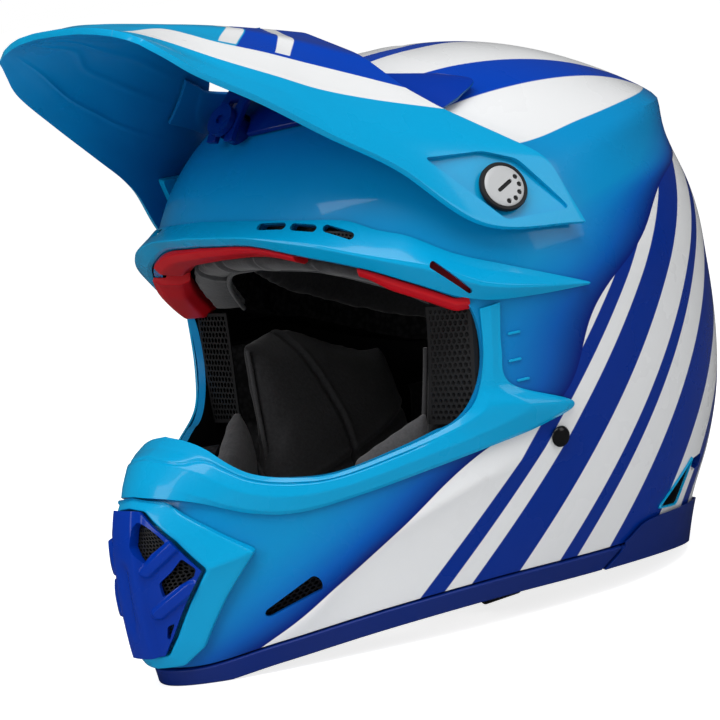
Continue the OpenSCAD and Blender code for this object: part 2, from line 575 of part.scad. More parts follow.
// Mesh plates behind the jaw slots and the rear vents
module jaw_vent_mesh(side) {
    near = jaw_slot[0] - 8;
    far = jaw_slot[0] + 8.5;
    ts = side > 0 ? spread(near, far, 8) : spread(-far, -near, 8);
    mid = [for (t = ts) jaw_slot[1] + (abs(t) - jaw_slot[0]) * 0.75];
    color("black") patch(ts, [for (z = mid) z - jaw_slot_w / 2 - 3],
        [for (z = mid) z + jaw_slot_w / 2 + 3], 2, chin_mesh_off, chin_mesh_off - chin_mesh_t);
}
module jaw_vent_mesh_left() jaw_vent_mesh(1);
module jaw_vent_mesh_right() jaw_vent_mesh(-1);
module rear_vent_mesh_left() {
    ts = spread(rear_vent[0] - 6, rear_vent[0] + 6, 4);
    half = rear_vent_size[1] / 2 + 3;
    color("black") patch(ts, [for (t = ts) rear_vent[1] - half], [for (t = ts) rear_vent[1] + half], 2,
        chin_mesh_off, chin_mesh_off - chin_mesh_t);
}
module rear_vent_mesh_right() mirror([1, 0, 0]) rear_vent_mesh_left();

// Edge trims, cut level where the helmet stands on them
trim_split = 99;
trim_proud = 1.4;
trim_inside = -shell_t - 1.4;
seam = 0.4;
module above_ground() {
    intersection() {
        children();
        translate([-300, -300, 0]) cube([600, 600, 200]);
    }
}
module edge_trim() {
    ts = spread(-trim_split, trim_split, 56);
    color("mediumblue") above_ground() patch(ts, [for (t = ts) rim_at(t) - trim_h - 1],
        [for (t = ts) rim_at(t) - seam - 0.6], 1, trim_proud, trim_inside);
}
module rear_edge_trim() {
    ts = spread(trim_split + 1, 359 - trim_split, 40);
    function at(t, z, off) = on_shell(t > 180 ? t - 360 : t, z, off);
    function rows(t) = let (a = t > 180 ? 360 - t : t, z = rim_at(a))
        [z - trim_h - 1, z - seam - 0.6, z - seam - 0.5, z - trim_h + rear_trim_h];
    outer = [for (i = [0 : 3]) [for (t = ts) at(t, rows(t)[i], trim_proud + 1.4)]];
    inner = [for (i = [0 : 3]) [for (t = ts)
        at(t, rows(t)[i == 2 ? 1 : i], i < 2 ? trim_inside : 2 * trim_gap)]];
    color("mediumblue") above_ground() slab(outer, inner);
}

// Raised intake hood on the forehead, under the visor
scoop_low = shell_h - 29;
scoop_top = shell_h - 13;
scoop_h = 3.6;
module crown_scoop() {
    ts = spread(-34, 34, 16);
    function swell(t, f) = trim_gap + 1 + scoop_h * sin(180 * min(0.9, 0.15 + 0.75 * f)) * (1 - (t / 36) ^ 4);
    function skin(outside) = [for (i = [0 : 4]) [for (t = ts) let (f = i / 4)
        on_shell(t, mix(scoop_low + abs(t) * 0.12, scoop_top, f), outside ? swell(t, f) : trim_gap)]];
    color("navy") difference() {
        slab(skin(true), skin(false));
        on_tongue() translate([0, 0, tongue_r - 37]) cylinder(r = centre_nut_r + 2, h = 60);
    }
}

// Visor rails from the middle to the edge; a point is [half width, distance ahead of the pivot, height]
net = [
    [[0, 153, 105], [0, 146, 105], [0, 136, 105], [0, 106, 101],
        [0, 78, 97], [0, 54, 93], [0, 32, 89], [0, 12, 85]],
    [[16, 152, 104.7], [20, 143, 104.5], [22, 131, 103], [26, 101, 98],
        [33, 74, 92], [42, 59, 86], [51, 42, 78], [58, 24, 70]],
    [[30, 151, 103.3], [31, 135, 101.5], [33, 112, 97], [48, 98, 88],
        [56, 79, 80], [62, 61, 72], [69, 38, 62], [76, 16, 52]],
    [[40, 149, 101.3], [43, 139, 98], [48, 127, 92], [62, 109, 80],
        [70, 87, 69], [75, 66, 59], [80, 40, 50], [88, 6, 40]],
    [[49, 147, 98.5], [56, 137, 91.5], [63, 124, 82], [75, 100, 66],
        [83, 76, 51], [92, 46, 36], [102, 14, 25], [117, -27, 11]],
    [[55, 145, 95.5], [63, 138, 87.5], [71, 128, 77], [82, 104, 60],
        [91, 76, 39], [102, 49, 19], [119, 18, -13], [129, -34, -22]]
];
net_size = [for (m = [0 : 2]) max([for (rail = net, p = rail) p[m]])];
panel_x = pivot_x + arm_gap;
arm_out = 16.6;
visor_half_w = panel_x + arm_out;
function net_pt(p) = [p[0] * visor_half_w / net_size[0], pivot_y - p[1] * visor_len / net_size[1],
    pivot_z + p[2] * visor_rise / net_size[2]];
rails = [for (rail = net) [for (p = rail) net_pt(p)]];
function rail_pt(k, s) = [for (m = [0 : 2]) curve([for (i = [0 : 7]) [i, rails[k][i][m]]], s)];
function row_table(s) = let (half = [for (k = [0 : 5]) rail_pt(k, s)])
    [for (k = [-5 : 5]) let (p = half[abs(k)]) [k < 0 ? -p[0] : p[0], p[1], p[2]]];
function across(table, r) = [for (m = [0 : 2]) curve([for (k = [-5 : 5]) [k, table[k + 5][m]]], r)];
function visor_rows(ss, rs) = [for (s = ss) let (table = row_table(s)) [for (r = rs) across(table, r)]];
function grid_n(g, i, j) = let (a = max(i - 1, 0), b = min(i + 1, len(g) - 1), c = max(j - 1, 0),
    d = min(j + 1, len(g[0]) - 1)) unit(cross(g[i][d] - g[i][c], g[b][j] - g[a][j]));
function sink(g, depth) = [for (i = [0 : len(g) - 1]) [for (j = [0 : len(g[0]) - 1])
    g[i][j] - depth * grid_n(g, i, j)]];

// Sunk panel round each visor screw, square to the arm: outline [distance behind the pivot, height]
panel = [[-35, 21], [-4, 19], [12, 12], [29, -13], [30, -16], [-5, -16]];
arm_n = unit([1, -0.2, 0.42]);
panel_t = 2.6;
bush_wall = 2;
bush_r = screw_r + bush_wall;
nut_wall = 3.5;
nut_t = 2;
module on_panel() {
    facing([panel_x, pivot_y, pivot_z], arm_n) children();
}
module panel_prism(grow, from, to) {
    on_panel() translate([0, 0, from]) linear_extrude(to - from)
        polygon([for (p = panel) p * (1 + grow / norm(p))]);
}
module visor() color("deepskyblue") {
    top = visor_rows(spread(0, 7, 20), spread(-5, 5, 20));
    difference() {
        union() {
            slab(top, sink(top, visor_t));
            both_sides() panel_prism(3, -panel_t, 1);
            tongue();
        }
        both_sides() {
            panel_prism(0, 0, 20);
            on_pivot() cylinder(r = bush_r + fit_gap, h = 200);
        }
    }
}
// Forked tongue that slides under the centre screw, and the post that carries it
tongue_from = 30;
tongue_to = 60;
fork_to = 46;
module arc_plate(from, to, half_w, grow = 0) {
    translate([-half_w, pivot_y, pivot_z]) rotate([0, 90, 0]) rotate([0, 0, 270 - to])
        rotate_extrude(angle = to - from, $fn = 96) translate([tongue_r - grow, 0])
            square([tongue_t + 2 * grow, 2 * half_w]);
}
post_t = 4.5;
post_y = pivot_y - (tongue_r + tongue_t / 2) * cos(tongue_to) - 1;
post_z = pivot_z + (tongue_r + tongue_t / 2) * sin(tongue_to) - 2;
middle_line = [for (p = rails[0]) [p[1], p[2]]];
module tongue() {
    difference() {
        arc_plate(tongue_from, tongue_to, tongue_half_w);
        arc_plate(tongue_from - 1, fork_to, centre_screw_r + 0.4, 1);
    }
    translate([-tongue_half_w, post_y - post_t / 2, post_z])
        cube([2 * tongue_half_w, post_t, curve(middle_line, post_y) - visor_t / 2 - post_z]);
}

// Plates that lead air out behind the visor's raised middle, one each side
duct_t = 1.8;
duct_drop = visor_t + 0.8;
duct_rear = [[84, -8, 43], [80, -23, 49.5], [66, -14, 55]];
module duct() {
    function under(s, r) = let (g = visor_rows([s - 0.1, s], [r - 0.1, r, r + 0.1]))
        g[1][1] - duct_drop * grid_n(g, 1, 1);
    lanes = [2.85, 2.1, 1.35];
    top = [for (i = [0 : 2]) concat([for (s = [6, 6.5, 7]) under(s, lanes[i])], [net_pt(duct_rear[i])])];
    color("mediumblue") slab(top, sink(top, duct_t));
}
module visor_duct_left() duct();
module visor_duct_right() mirror([1, 0, 0]) duct();

// Pivot bushes through the shell and the visor's arms, ring nuts inside, and the screws with round heads
clamp_gap = 0.3;
head_gap = 0.8;
nut_set = 7.5;
bush_inner_x = pivot_x - shell_t - nut_set - nut_t;
bush_reach = 12;
screw_len = 6;
module visor_bush_left() color("dimgray") difference() {
    on_pivot() translate([0, 0, bush_inner_x])
        cylinder(r = bush_r, h = panel_x - bush_inner_x + bush_reach);
    on_panel() translate([0, 0, -clamp_gap]) cylinder(r = 3 * bush_r, h = 40);
    on_panel() translate([0, 0, -screw_len - 1]) cylinder(r = screw_r - 1 + fit_gap, h = 40);
}
module visor_bush_right() mirror([1, 0, 0]) visor_bush_left();
module visor_nut_left() color("silver") on_pivot() translate([0, 0, bush_inner_x]) difference() {
    cylinder(r = bush_r + nut_wall, h = nut_t);
    translate([0, 0, -1]) cylinder(r = bush_r + fit_gap, h = nut_t + 2);
}
module visor_nut_right() mirror([1, 0, 0]) visor_nut_left();
module visor_screw_left() color("white") on_panel() difference() {
    union() {
        translate([0, 0, -screw_len]) cylinder(r = screw_r - 1, h = screw_len + 2);
        translate([0, 0, head_gap]) cylinder(r = screw_head_r, h = screw_head_t);
    }
    translate([0, 0, head_gap + screw_head_t]) cube([screw_head_r * 1.2, 2.2, 2.6], center = true);
}
module visor_screw_right() mirror([1, 0, 0]) visor_screw_left();
nut_depth = 16;
centre_head_r = 8;
centre_head_t = 3;
module centre_nut() color("silver") on_tongue() translate([0, 0, tongue_r - nut_depth]) difference() {
    cylinder(r = centre_nut_r, h = nut_depth - 2 * clamp_gap);
    translate([0, 0, -1]) cylinder(r = centre_screw_r + fit_gap, h = nut_depth + 2);
}
module centre_screw() color("black") on_tongue() difference() {
    union() {
        translate([0, 0, tongue_r - nut_depth - 1])
            cylinder(r = centre_screw_r, h = nut_depth + tongue_t + 2);
        translate([0, 0, tongue_r + tongue_t + clamp_gap]) cylinder(r = centre_head_r, h = centre_head_t);
    }
    translate([0, 0, tongue_r + tongue_t + centre_head_t - 1]) cylinder(r = 2.5, h = 4, $fn = 6);
}

// Strap rivets through the shell, with their anchor plates inside
rivet_r = 2.5;
anchor_w = 16;
anchor_h = 18;
anchor_t = 1.5;
anchor_gap = 2.2;
anchor_off = -shell_t - anchor_gap;
strap_off = anchor_off - anchor_t - clamp_gap - strap_t / 2;
module strap_rivets() color("black") both_sides() seat(rivet_angle, rivet_z) {
    translate([0, 0, anchor_off - anchor_t]) cylinder(r = rivet_r, h = 1 - anchor_off + anchor_t);
    translate([0, 0, 0.5]) cylinder(r = rivet_head_r, h = 1.6);
}
module strap_anchors() color("silver") both_sides()
    seat(rivet_angle, rivet_z, anchor_off - anchor_t) difference() {
        translate([-anchor_w / 2, -anchor_h / 2, 0]) cube([anchor_w, anchor_h, anchor_t]);
        translate([0, 0, -1]) cylinder(r = rivet_r + fit_gap, h = anchor_t + 2);
    }

// Straps: down inside the shell, then under the cheek pads towards the middle
ring_low_z = 6.2;
ring_pitch = 5;
loop_wall = 1.8;
strap_y = shell_pt(rivet_angle, 30)[1];
loop_r = ring_rod_r + loop_wall;
wall_run = [for (z = [rivet_z + 6, 66, 48, 30, 22])
    on_shell(rivet_angle, z, strap_off - ramp(z, 40, 22) * 2.5)];
ring_run = [[84, 13.5], [76, 10.6], [69, 9.2], [ring_x + loop_r + 0.2, ring_low_z + ring_pitch / 2]];
tail_run = [[84, 13.5], [76, 10], [66, 7.2], [54, 5], [42, 3.6], [32, 3]];
function run_pts(run) = concat(wall_run, [for (p = run) [p[0], strap_y, p[1]]]);
module ribbon(run) {
    p = run_pts(run);
    last = len(p) - 1;
    side = [for (i = [0 : last]) let (n = shell_n(rivet_angle, rivet_z))
        unit(mix(unit([-n[1], n[0], 0]), [0, 1, 0], ramp(i, 3, 6)))];
    face = [for (i = [0 : last]) unit(cross(p[min(i + 1, last)] - p[max(i - 1, 0)], side[i]))];
    function skin(s) = [for (e = [-1, 1]) [for (i = [0 : last])
        p[i] + e * side[i] * strap_w / 2 + s * face[i] * strap_t / 2]];
    slab(skin(1), skin(-1));
}
module chin_strap_left() color("black") ribbon(ring_run);
module chin_strap_right() color("black") mirror([1, 0, 0]) ribbon(tail_run);
module strap_snap() color("silver") translate([-40, strap_y, 3.4 + strap_t / 2 + 0.9]) {
    cylinder(r = 6, h = 1.5);
    cylinder(r = 3.5, h = 3);
}
module across_strap(z) {
    translate([ring_x, strap_y, z]) rotate([90, 0, 0]) children();
}
module strap_loop() color("black") difference() {
    union() {
        for (z = [ring_low_z, ring_low_z + ring_pitch])
            across_strap(z) cylinder(r = loop_r, h = strap_w, center = true);
        translate([ring_x - loop_r, strap_y - strap_w / 2, ring_low_z])
            cube([2 * loop_r, strap_w, ring_pitch]);
    }
    for (z = [ring_low_z, ring_low_z + ring_pitch])
        across_strap(z) cylinder(r = ring_rod_r + fit_gap, h = strap_w + 2, center = true);
}
ring_step = 2 * ring_rod_r + 0.3;
lower_ring_r = strap_w / 2 + ring_rod_r + 0.7;
upper_ring_r = lower_ring_r + ring_step;
module d_ring(r, z) color("silver") {
    across_strap(z) cylinder(r = ring_rod_r, h = 2 * r, center = true);
    translate([ring_x, strap_y, z]) {
        for (s = [-1, 1]) translate([0, s * r, 0]) sphere(r = ring_rod_r);
        rotate([0, 0, 90]) rotate_extrude(angle = 180) translate([r, 0]) circle(r = ring_rod_r);
    }
}
module d_ring_upper() d_ring(upper_ring_r, ring_low_z + ring_pitch);
module d_ring_lower() d_ring(lower_ring_r, ring_low_z);

// Pull tabs under the cheek pads
tab_h = 13;
tab_t = 1.6;
module release_tab() {
    ts = spread(60, 68, 3);
    off = core_inner - layer_gap - 2;
    color("red") patch(ts, [for (t = ts) cheek_low - tab_h], [for (t = ts) cheek_low - 0.5], 2,
        off, off - tab_t);
}
module release_tab_left() release_tab();
module release_tab_right() mirror([1, 0, 0]) release_tab();

outer_shell();
impact_liner();
chin_liner();
crown_pad();
brow_pad();
neck_roll();
cheek_core_left();
cheek_core_right();
cheek_pad_left();
cheek_pad_right();
eye_mesh_left();
eye_mesh_right();
red_liner_edge_centre();
red_liner_edge_left();
red_liner_edge_right();
brow_band();
brow_vent_mesh();
lip_guard();
chin_vent_frame();
chin_grille();
chin_vent_mesh();
jaw_vent_mesh_left();
jaw_vent_mesh_right();
edge_trim();
rear_edge_trim();
rear_vent_mesh_left();
rear_vent_mesh_right();
crown_scoop();
visor();
visor_duct_left();
visor_duct_right();
visor_bush_left();
visor_bush_right();
visor_nut_left();
visor_nut_right();
visor_screw_left();
visor_screw_right();
centre_nut();
centre_screw();
strap_rivets();
strap_anchors();
chin_strap_left();
chin_strap_right();
strap_loop();
d_ring_upper();
d_ring_lower();
strap_snap();
release_tab_left();
release_tab_right();
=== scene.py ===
# %% [markdown]
# A motocross helmet. The construction model gives every piece its place and its motion. This lesson dresses
# it: each painted, moulded or padded piece is a surface worked out from two parameters with numpy, and
# each finish is a small set of shader nodes. Lengths in this file are millimetres until a mesh is made;
# only the studio is laid out in metres.

# %% Load the frame
import math
from functools import partial

import bmesh
import bpy
import numpy as np
from mathutils import Matrix


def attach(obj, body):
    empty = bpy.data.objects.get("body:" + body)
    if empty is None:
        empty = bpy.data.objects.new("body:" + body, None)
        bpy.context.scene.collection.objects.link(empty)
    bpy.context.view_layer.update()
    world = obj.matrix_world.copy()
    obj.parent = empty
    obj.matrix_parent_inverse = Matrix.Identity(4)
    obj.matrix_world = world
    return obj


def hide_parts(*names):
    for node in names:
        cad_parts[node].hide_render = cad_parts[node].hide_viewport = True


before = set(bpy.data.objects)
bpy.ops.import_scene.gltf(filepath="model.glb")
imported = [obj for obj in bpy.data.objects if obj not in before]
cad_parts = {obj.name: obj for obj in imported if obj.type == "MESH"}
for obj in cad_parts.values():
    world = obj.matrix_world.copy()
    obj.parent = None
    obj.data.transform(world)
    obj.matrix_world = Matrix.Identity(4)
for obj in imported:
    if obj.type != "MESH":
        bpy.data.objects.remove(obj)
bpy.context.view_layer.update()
scene = bpy.context.scene
MM = 0.001
print("nodes in the frame:", len(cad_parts))

# %% [markdown]
# The camera comes first. The photograph was taken from the front left of the wearer, a little above the
# eyes and with a slight roll, through a long lens. Four numbers and a target place it.

# %% Camera
CAMERA_TARGET = np.array([0.0, -20.3, 123.7])
CAMERA_AZIMUTH, CAMERA_ELEVATION, CAMERA_ROLL = np.radians([50.3, 7.2, -9.4])
CAMERA_DISTANCE = 1690.0
CAMERA_LENS = 174.3


def camera_axes(azimuth, elevation, roll):
    """The camera's right, up and backward unit vectors, from two angles round the object and a roll."""
    flat = np.cos(elevation)
    back = np.array([np.sin(azimuth) * flat, -np.cos(azimuth) * flat, np.sin(elevation)])
    level = np.array([np.cos(azimuth), np.sin(azimuth), 0])
    upright = np.cross(back, level)
    right = level * np.cos(roll) + upright * np.sin(roll)
    return np.array([right, np.cross(back, right), back])


def stand(thing, axes, spot):
    """Puts a camera or a lamp at a spot in metres, turned to three unit axes."""
    placed = np.eye(4)
    placed[:3, :3] = axes.T
    placed[:3, 3] = spot
    thing.matrix_world = Matrix(placed)


axes = camera_axes(CAMERA_AZIMUTH, CAMERA_ELEVATION, CAMERA_ROLL)
camera = bpy.data.objects.new("camera", bpy.data.cameras.new("camera"))
scene.collection.objects.link(camera)
camera.data.lens = CAMERA_LENS
camera.data.clip_end = 100
stand(camera, axes, (CAMERA_TARGET + CAMERA_DISTANCE * axes[2]) * MM)
scene.camera = camera
scene.view_settings.view_transform = "Standard"

# %% [markdown]
# Node trees are easier to read when one short call makes a node, sets its options and feeds its inputs.
# A value that is itself a socket is linked; anything else is written into the input.

# %% Node helpers


def node(tree, kind, values=None, **options):
    """A new shader node with its options set and its inputs linked or written."""
    made = tree.nodes.new("ShaderNode" + kind)
    for key, value in options.items():
        setattr(made, key, value)
    for key, value in (values or {}).items():
        if isinstance(value, bpy.types.NodeSocket):
            tree.links.new(value, made.inputs[key])
        else:
            made.inputs[key].default_value = value
    return made


def calc(tree, operation, a, b=0.0):
    """One step of arithmetic on two values or sockets."""
    return node(tree, "Math", {0: a, 1: b}, operation=operation).outputs[0]


def step(tree, value, low, high, to_low=0.0, to_high=1.0):
    """A smooth step: to_low below low, to_high above high, and an S-curve between."""
    values = {"Value": value, "From Min": low, "From Max": high, "To Min": to_low, "To Max": to_high}
    return node(tree, "MapRange", values, interpolation_type="SMOOTHSTEP").outputs["Result"]


def tint(tree, share, first, second):
    """The first colour where share is 0, the second where it is 1."""
    return node(tree, "Mix", {0: share, 6: first, 7: second}, data_type="RGBA").outputs[2]


def drawn(tree, value, rows, span_in, span_out):
    """A curve through rows of (value, result), both scaled by their spans into the unit square."""
    made = node(tree, "FloatCurve", {"Value": calc(tree, "DIVIDE", value, span_in)})
    points = made.mapping.curves[0].points
    while len(points) < len(rows):
        points.new(0.5, 0.5)
    for point, (a, b) in zip(points, rows):
        point.location = (a / span_in, b / span_out)
        point.handle_type = "AUTO_CLAMPED"
    made.mapping.update()
    return calc(tree, "MULTIPLY", made.outputs[0], span_out)


def new_group(name, inputs, outputs):
    """A shader node group with named sockets; returns its tree, its input node and its output node."""
    tree = bpy.data.node_groups.new(name, "ShaderNodeTree")
    for way, sockets in (("INPUT", inputs), ("OUTPUT", outputs)):
        for label, kind in sockets.items():
            tree.interface.new_socket(label, in_out=way, socket_type="NodeSocket" + kind)
    return tree, tree.nodes.new("NodeGroupInput"), tree.nodes.new("NodeGroupOutput")


def new_material(name, rough, colour=None, **sockets):
    """A Principled material: returns it with its tree and its shader; sockets are written by name."""
    material = bpy.data.materials.new(name)
    material.use_nodes = True
    tree = material.node_tree
    shader = tree.nodes["Principled BSDF"]
    shader.inputs["Roughness"].default_value = rough
    if colour:
        shader.inputs["Base Color"].default_value = (*colour, 1)
    for key, value in sockets.items():
        shader.inputs[key.replace("_", " ")].default_value = value
    return material, tree, shader


def object_place(tree):
    """The Object coordinates socket of a material."""
    return node(tree, "TexCoord").outputs["Object"]


# %% [markdown]
# The studio: a pale floor, a white surround and three soft lamps. The floor adds a little white of its own
# for the camera, so it reads as paper, and still takes the helmet's shadow. Reflections see a dim room and a
# dull floor, so gloss shows as highlights from the lamps and leaves the colours deep.

# %% Stage and light
FLOOR_SPAN = 30.0
FLOOR_GLOW = 0.8
FLOOR_GREY = 0.75
AMBIENT = 0.3
MIRROR = 0.05
FLOOR_MIRROR = 0.1
FLOOR_Z = -0.0004


def seen_directly(tree):
    """1 for rays from the camera and through glass, and 0 for light that falls on things."""
    path = node(tree, "LightPath")
    return calc(tree, "MAXIMUM", path.outputs["Is Camera Ray"], path.outputs["Is Transmission Ray"])


floor_mesh = bpy.data.meshes.new("floor")
corners = [(-1, -1), (1, -1), (1, 1), (-1, 1)]
floor_points = [(x * FLOOR_SPAN / 2, y * FLOOR_SPAN / 2, FLOOR_Z) for x, y in corners]
floor_mesh.from_pydata(floor_points, [], [(0, 1, 2, 3)])
floor = bpy.data.objects.new("floor", floor_mesh)
scene.collection.objects.link(floor)
paper, tree, shader = new_material("floor_paper", 0.9, Specular_IOR_Level=0.0)
shader.inputs["Emission Color"].default_value = (1, 1, 1, 1)
glow = calc(tree, "MULTIPLY", seen_directly(tree), FLOOR_GLOW)
tree.links.new(glow, shader.inputs["Emission Strength"])
dull = node(tree, "LightPath").outputs["Is Glossy Ray"]
paper_tint = tint(tree, dull, (*(FLOOR_GREY,) * 3, 1), (*(FLOOR_MIRROR,) * 3, 1))
tree.links.new(paper_tint, shader.inputs["Base Color"])
floor_mesh.materials.append(paper)

world = bpy.data.worlds.new("studio")
scene.world = world
world.use_nodes = True
tree = world.node_tree
mirrored_share = calc(tree, "MULTIPLY", node(tree, "LightPath").outputs["Is Glossy Ray"], AMBIENT - MIRROR)
strength = calc(tree, "SUBTRACT", step(tree, seen_directly(tree), 0.0, 1.0, AMBIENT, 1.0), mirrored_share)
tree.links.new(strength, tree.nodes["Background"].inputs["Strength"])
tree.nodes["Background"].inputs["Color"].default_value = (1, 1, 1, 1)

LAMPS = {
    "softbox_above": ((0.55, -0.45, 1.45), (1.3, 0.9), 17.0),
    "softbox_front": ((0.2, -1.7, 0.75), (0.9, 0.9), 8.5),
    "softbox_side": ((1.6, 0.75, 0.9), (0.7, 1.1), 5.0),
}
AIM = np.array([0, -0.01, 0.14])
for name, (spot, size, power) in LAMPS.items():
    lamp = bpy.data.lights.new(name, "AREA")
    lamp.shape = "RECTANGLE"
    lamp.size, lamp.size_y = size
    lamp.energy = power
    holder = bpy.data.objects.new(name, lamp)
    scene.collection.objects.link(holder)
    away = np.array(spot) - AIM
    lift = math.asin(away[2] / np.linalg.norm(away))
    stand(holder, camera_axes(math.atan2(away[0], -away[1]), lift, 0), spot)

# %% [markdown]
# Everything on the helmet lies on or near one painted surface. A place on it is an angle t about the crown
# axis (0 at the face, 90 at the wearer's left) and a height z. Outline tables give the half width and the
# reach at each height, and a superellipse closes the crown.

# %% The painted surface
SHELL_H, BELT_Z = 269.0, 150.0
BELT_W, JAW_W, RIM_W = 124.0, 111.0, 95.0
BROW_REACH, JAW_REACH, BACK_REACH, NAPE_REACH = 146.0, 153.0, 145.5, 108.0
CHIN_JUT, CHIN_HALF_W = 51.0, 50.0
SHELL_T = 4.0
RIM_Z, RIM_ARCH = 9.0, 14.0
CROWN_POWER, CROWN_DRIFT = 2.2, 9.0
SHOULDER_H, SHOULDER_LIFT, SHOULDER_ABOVE, SHOULDER_BELOW, SHOULDER_POWER = 9.0, 0.7, 26, 10, 1.4
CREASE_H, CREASE_W = 3.0, 10.0
AXIS_Y = 35.0
TOP_Z = BELT_Z + 30
HALF_W = [(-20, RIM_W - 6), (0, RIM_W), (55, JAW_W), (100, (JAW_W + 2 * BELT_W) / 3)]
HALF_W += [(BELT_Z, BELT_W), (TOP_Z, BELT_W)]
FRONT = [(-20, JAW_REACH), (50, JAW_REACH), (100, JAW_REACH - 2), (BELT_Z, BROW_REACH), (TOP_Z, BROW_REACH)]
JUT = [(-20, CHIN_JUT - 8), (0, CHIN_JUT - 5), (25, CHIN_JUT - 1), (55, CHIN_JUT), (80, CHIN_JUT - 3)]
JUT += [(100, CHIN_JUT - 13), (115, CHIN_JUT * 0.47), (130, CHIN_JUT * 0.2), (BELT_Z, 0), (TOP_Z, 0)]
BACK = [(-20, NAPE_REACH - 5), (0, NAPE_REACH), (25, NAPE_REACH + 8), (50, BACK_REACH - 13.5)]
BACK += [(75, BACK_REACH - 3.5), (100, BACK_REACH), (125, BACK_REACH), (BELT_Z, BACK_REACH - 2)]
BACK += [(TOP_Z, BACK_REACH - 3)]
RIM = [(0, 0), (12, 0), (25, 0.36), (45, 0.8), (65, 1), (85, 0.93), (105, 0.78), (130, 0.43)]
RIM += [(155, 0), (180, 0)]
CREASE = [(15, 6), (21, 12), (30, 24), (38, 46), (44, 55), (56, 68), (75, 82), (90, 90)]
SHOULDER = [(80, 208), (100, 213), (125, 217), (160, 218)]


def curve(table, x):
    """Cubic Hermite curve through rows (x, y): a row's slope is that of the chord between its neighbours."""
    rows = np.asarray(table, float)
    xs, ys = rows[:, 0], rows[:, 1]
    last = len(xs) - 1
    before, after = np.maximum(np.arange(last + 1) - 1, 0), np.minimum(np.arange(last + 1) + 1, last)
    slope = (ys[after] - ys[before]) / (xs[after] - xs[before])
    q = np.clip(x, xs[0], xs[-1])
    i = np.clip(np.searchsorted(xs, q, side="right") - 1, 0, last - 1)
    h = xs[i + 1] - xs[i]
    s = (q - xs[i]) / h
    return (
        (2 * s**3 - 3 * s**2 + 1) * ys[i]
        + (s**3 - 2 * s**2 + s) * h * slope[i]
        + (3 * s**2 - 2 * s**3) * ys[i + 1]
        + (s**3 - s**2) * h * slope[i + 1]
    )


def through(knots, x):
    """The curve through rows of points, which lie at 0, 1, 2 and so on, read at the places x."""
    index = np.arange(len(knots))
    return np.stack([curve(np.stack([index, column], -1), x) for column in knots.T], -1)


def ramp(x, a, b):
    """Smooth step from 0 at a to 1 at b, in either direction."""
    s = np.clip((x - a) / (b - a), 0, 1)
    return s * s * (3 - 2 * s)


def mix(a, b, f):
    """The point a share f of the way from a to b."""
    return a + (b - a) * f


def unit(v):
    """Vectors scaled to length 1."""
    return v / np.linalg.norm(v, axis=-1, keepdims=True)


def shoulder(a, z):
    """Raised rear shoulder: a bell across its crest line, wide above and narrow below."""
    q = z - curve(SHOULDER, a)
    bell = np.exp(-np.abs(q / np.where(q > 0, SHOULDER_ABOVE, SHOULDER_BELOW)) ** SHOULDER_POWER)
    return SHOULDER_H * ramp(a, 80, 130) * ramp(a, 158, 148) * bell


def crease(a, z):
    """Jaw crease: a ridge that falls off by the distance from its line."""
    return CREASE_H * ramp(a, 17, 30) * ramp(a, 86, 56) * np.exp(-np.abs(z - curve(CREASE, a)) / CREASE_W)


def shell_pt(t, z, bump=1.0):
    """Point at angle t, height z: an ellipse of the tables' sizes, less the crown, plus chin and ridges."""
    t, z = np.broadcast_arrays(np.asarray(t, float), np.asarray(z, float))
    a, c, s = np.abs(t), np.cos(np.radians(t)), np.sin(np.radians(t))
    up = np.clip((z - BELT_Z) / (SHELL_H - BELT_Z), 0, 1)
    k = np.maximum(1 - up**CROWN_POWER, 0) ** (1 / CROWN_POWER)
    low = np.minimum(z, BELT_Z)
    x = curve(HALF_W, low) * k * s
    jut = np.where(c > 0, curve(JUT, low) * np.exp(-((x / CHIN_HALF_W) ** 2)) * ramp(c, 0, 0.35), 0)
    reach = np.where(c > 0, curve(FRONT, low), curve(BACK, low)) * k * c + jut
    raised = bump * shoulder(a, z)
    b = raised + bump * crease(a, z)
    y = AXIS_Y - reach - CROWN_DRIFT * up**2 - b * c
    return np.stack([x + b * s, y, z + SHOULDER_LIFT * raised], -1)


def shell_n(t, z, bump=1.0, probe=0.3):
    """Outward normal: the cross product of steps along t and along z."""
    t, z = np.broadcast_arrays(np.asarray(t, float), np.asarray(z, float))
    across = shell_pt(t + probe, z, bump) - shell_pt(t - probe, z, bump)
    rise = shell_pt(t, z + probe, bump) - shell_pt(t, z - probe, bump)
    crown = (z > SHELL_H - 2 * probe)[..., None]
    return unit(np.where(crown, [0.0, 0.0, 1.0], np.cross(across, rise)))


def on_shell(t, z, off, bump=1.0):
    """Point at a distance off the surface."""
    return shell_pt(t, z, bump) + np.asarray(off, float)[..., None] * shell_n(t, z, bump)


def two_skins(t, z, outer, inner):
    """Two matching grids of points, at the distances outer and inner off the surface."""
    return on_shell(t, z, outer), on_shell(t, z, inner)


def rim_at(t):
    """Height of the shell's lower rim."""
    return RIM_Z + RIM_ARCH * curve(RIM, np.abs(t))


print("crown:", shell_pt(0, SHELL_H).round(1), "side:", shell_pt(90, BELT_Z).round(1))

# %% [markdown]
# Meshes are built from grids of points. A slab joins two matching grids, an outer and an inner skin, along
# their borders into one closed solid. A bevel then rounds its edges, and booleans cut true openings.

# %% Mesh helpers


def grid_faces(rows, columns, wrap=False):
    """Quads of a grid whose rows run upwards and whose columns run to the right, seen from outside."""
    i = np.arange(rows - 1)[:, None]
    j = np.arange(columns if wrap else columns - 1)[None, :]
    k = (j + 1) % columns
    corners = (i * columns + j, i * columns + k, (i + 1) * columns + k, (i + 1) * columns + j)
    return np.stack([np.broadcast_to(c, (rows - 1, j.shape[1])) for c in corners], -1).reshape(-1, 4)


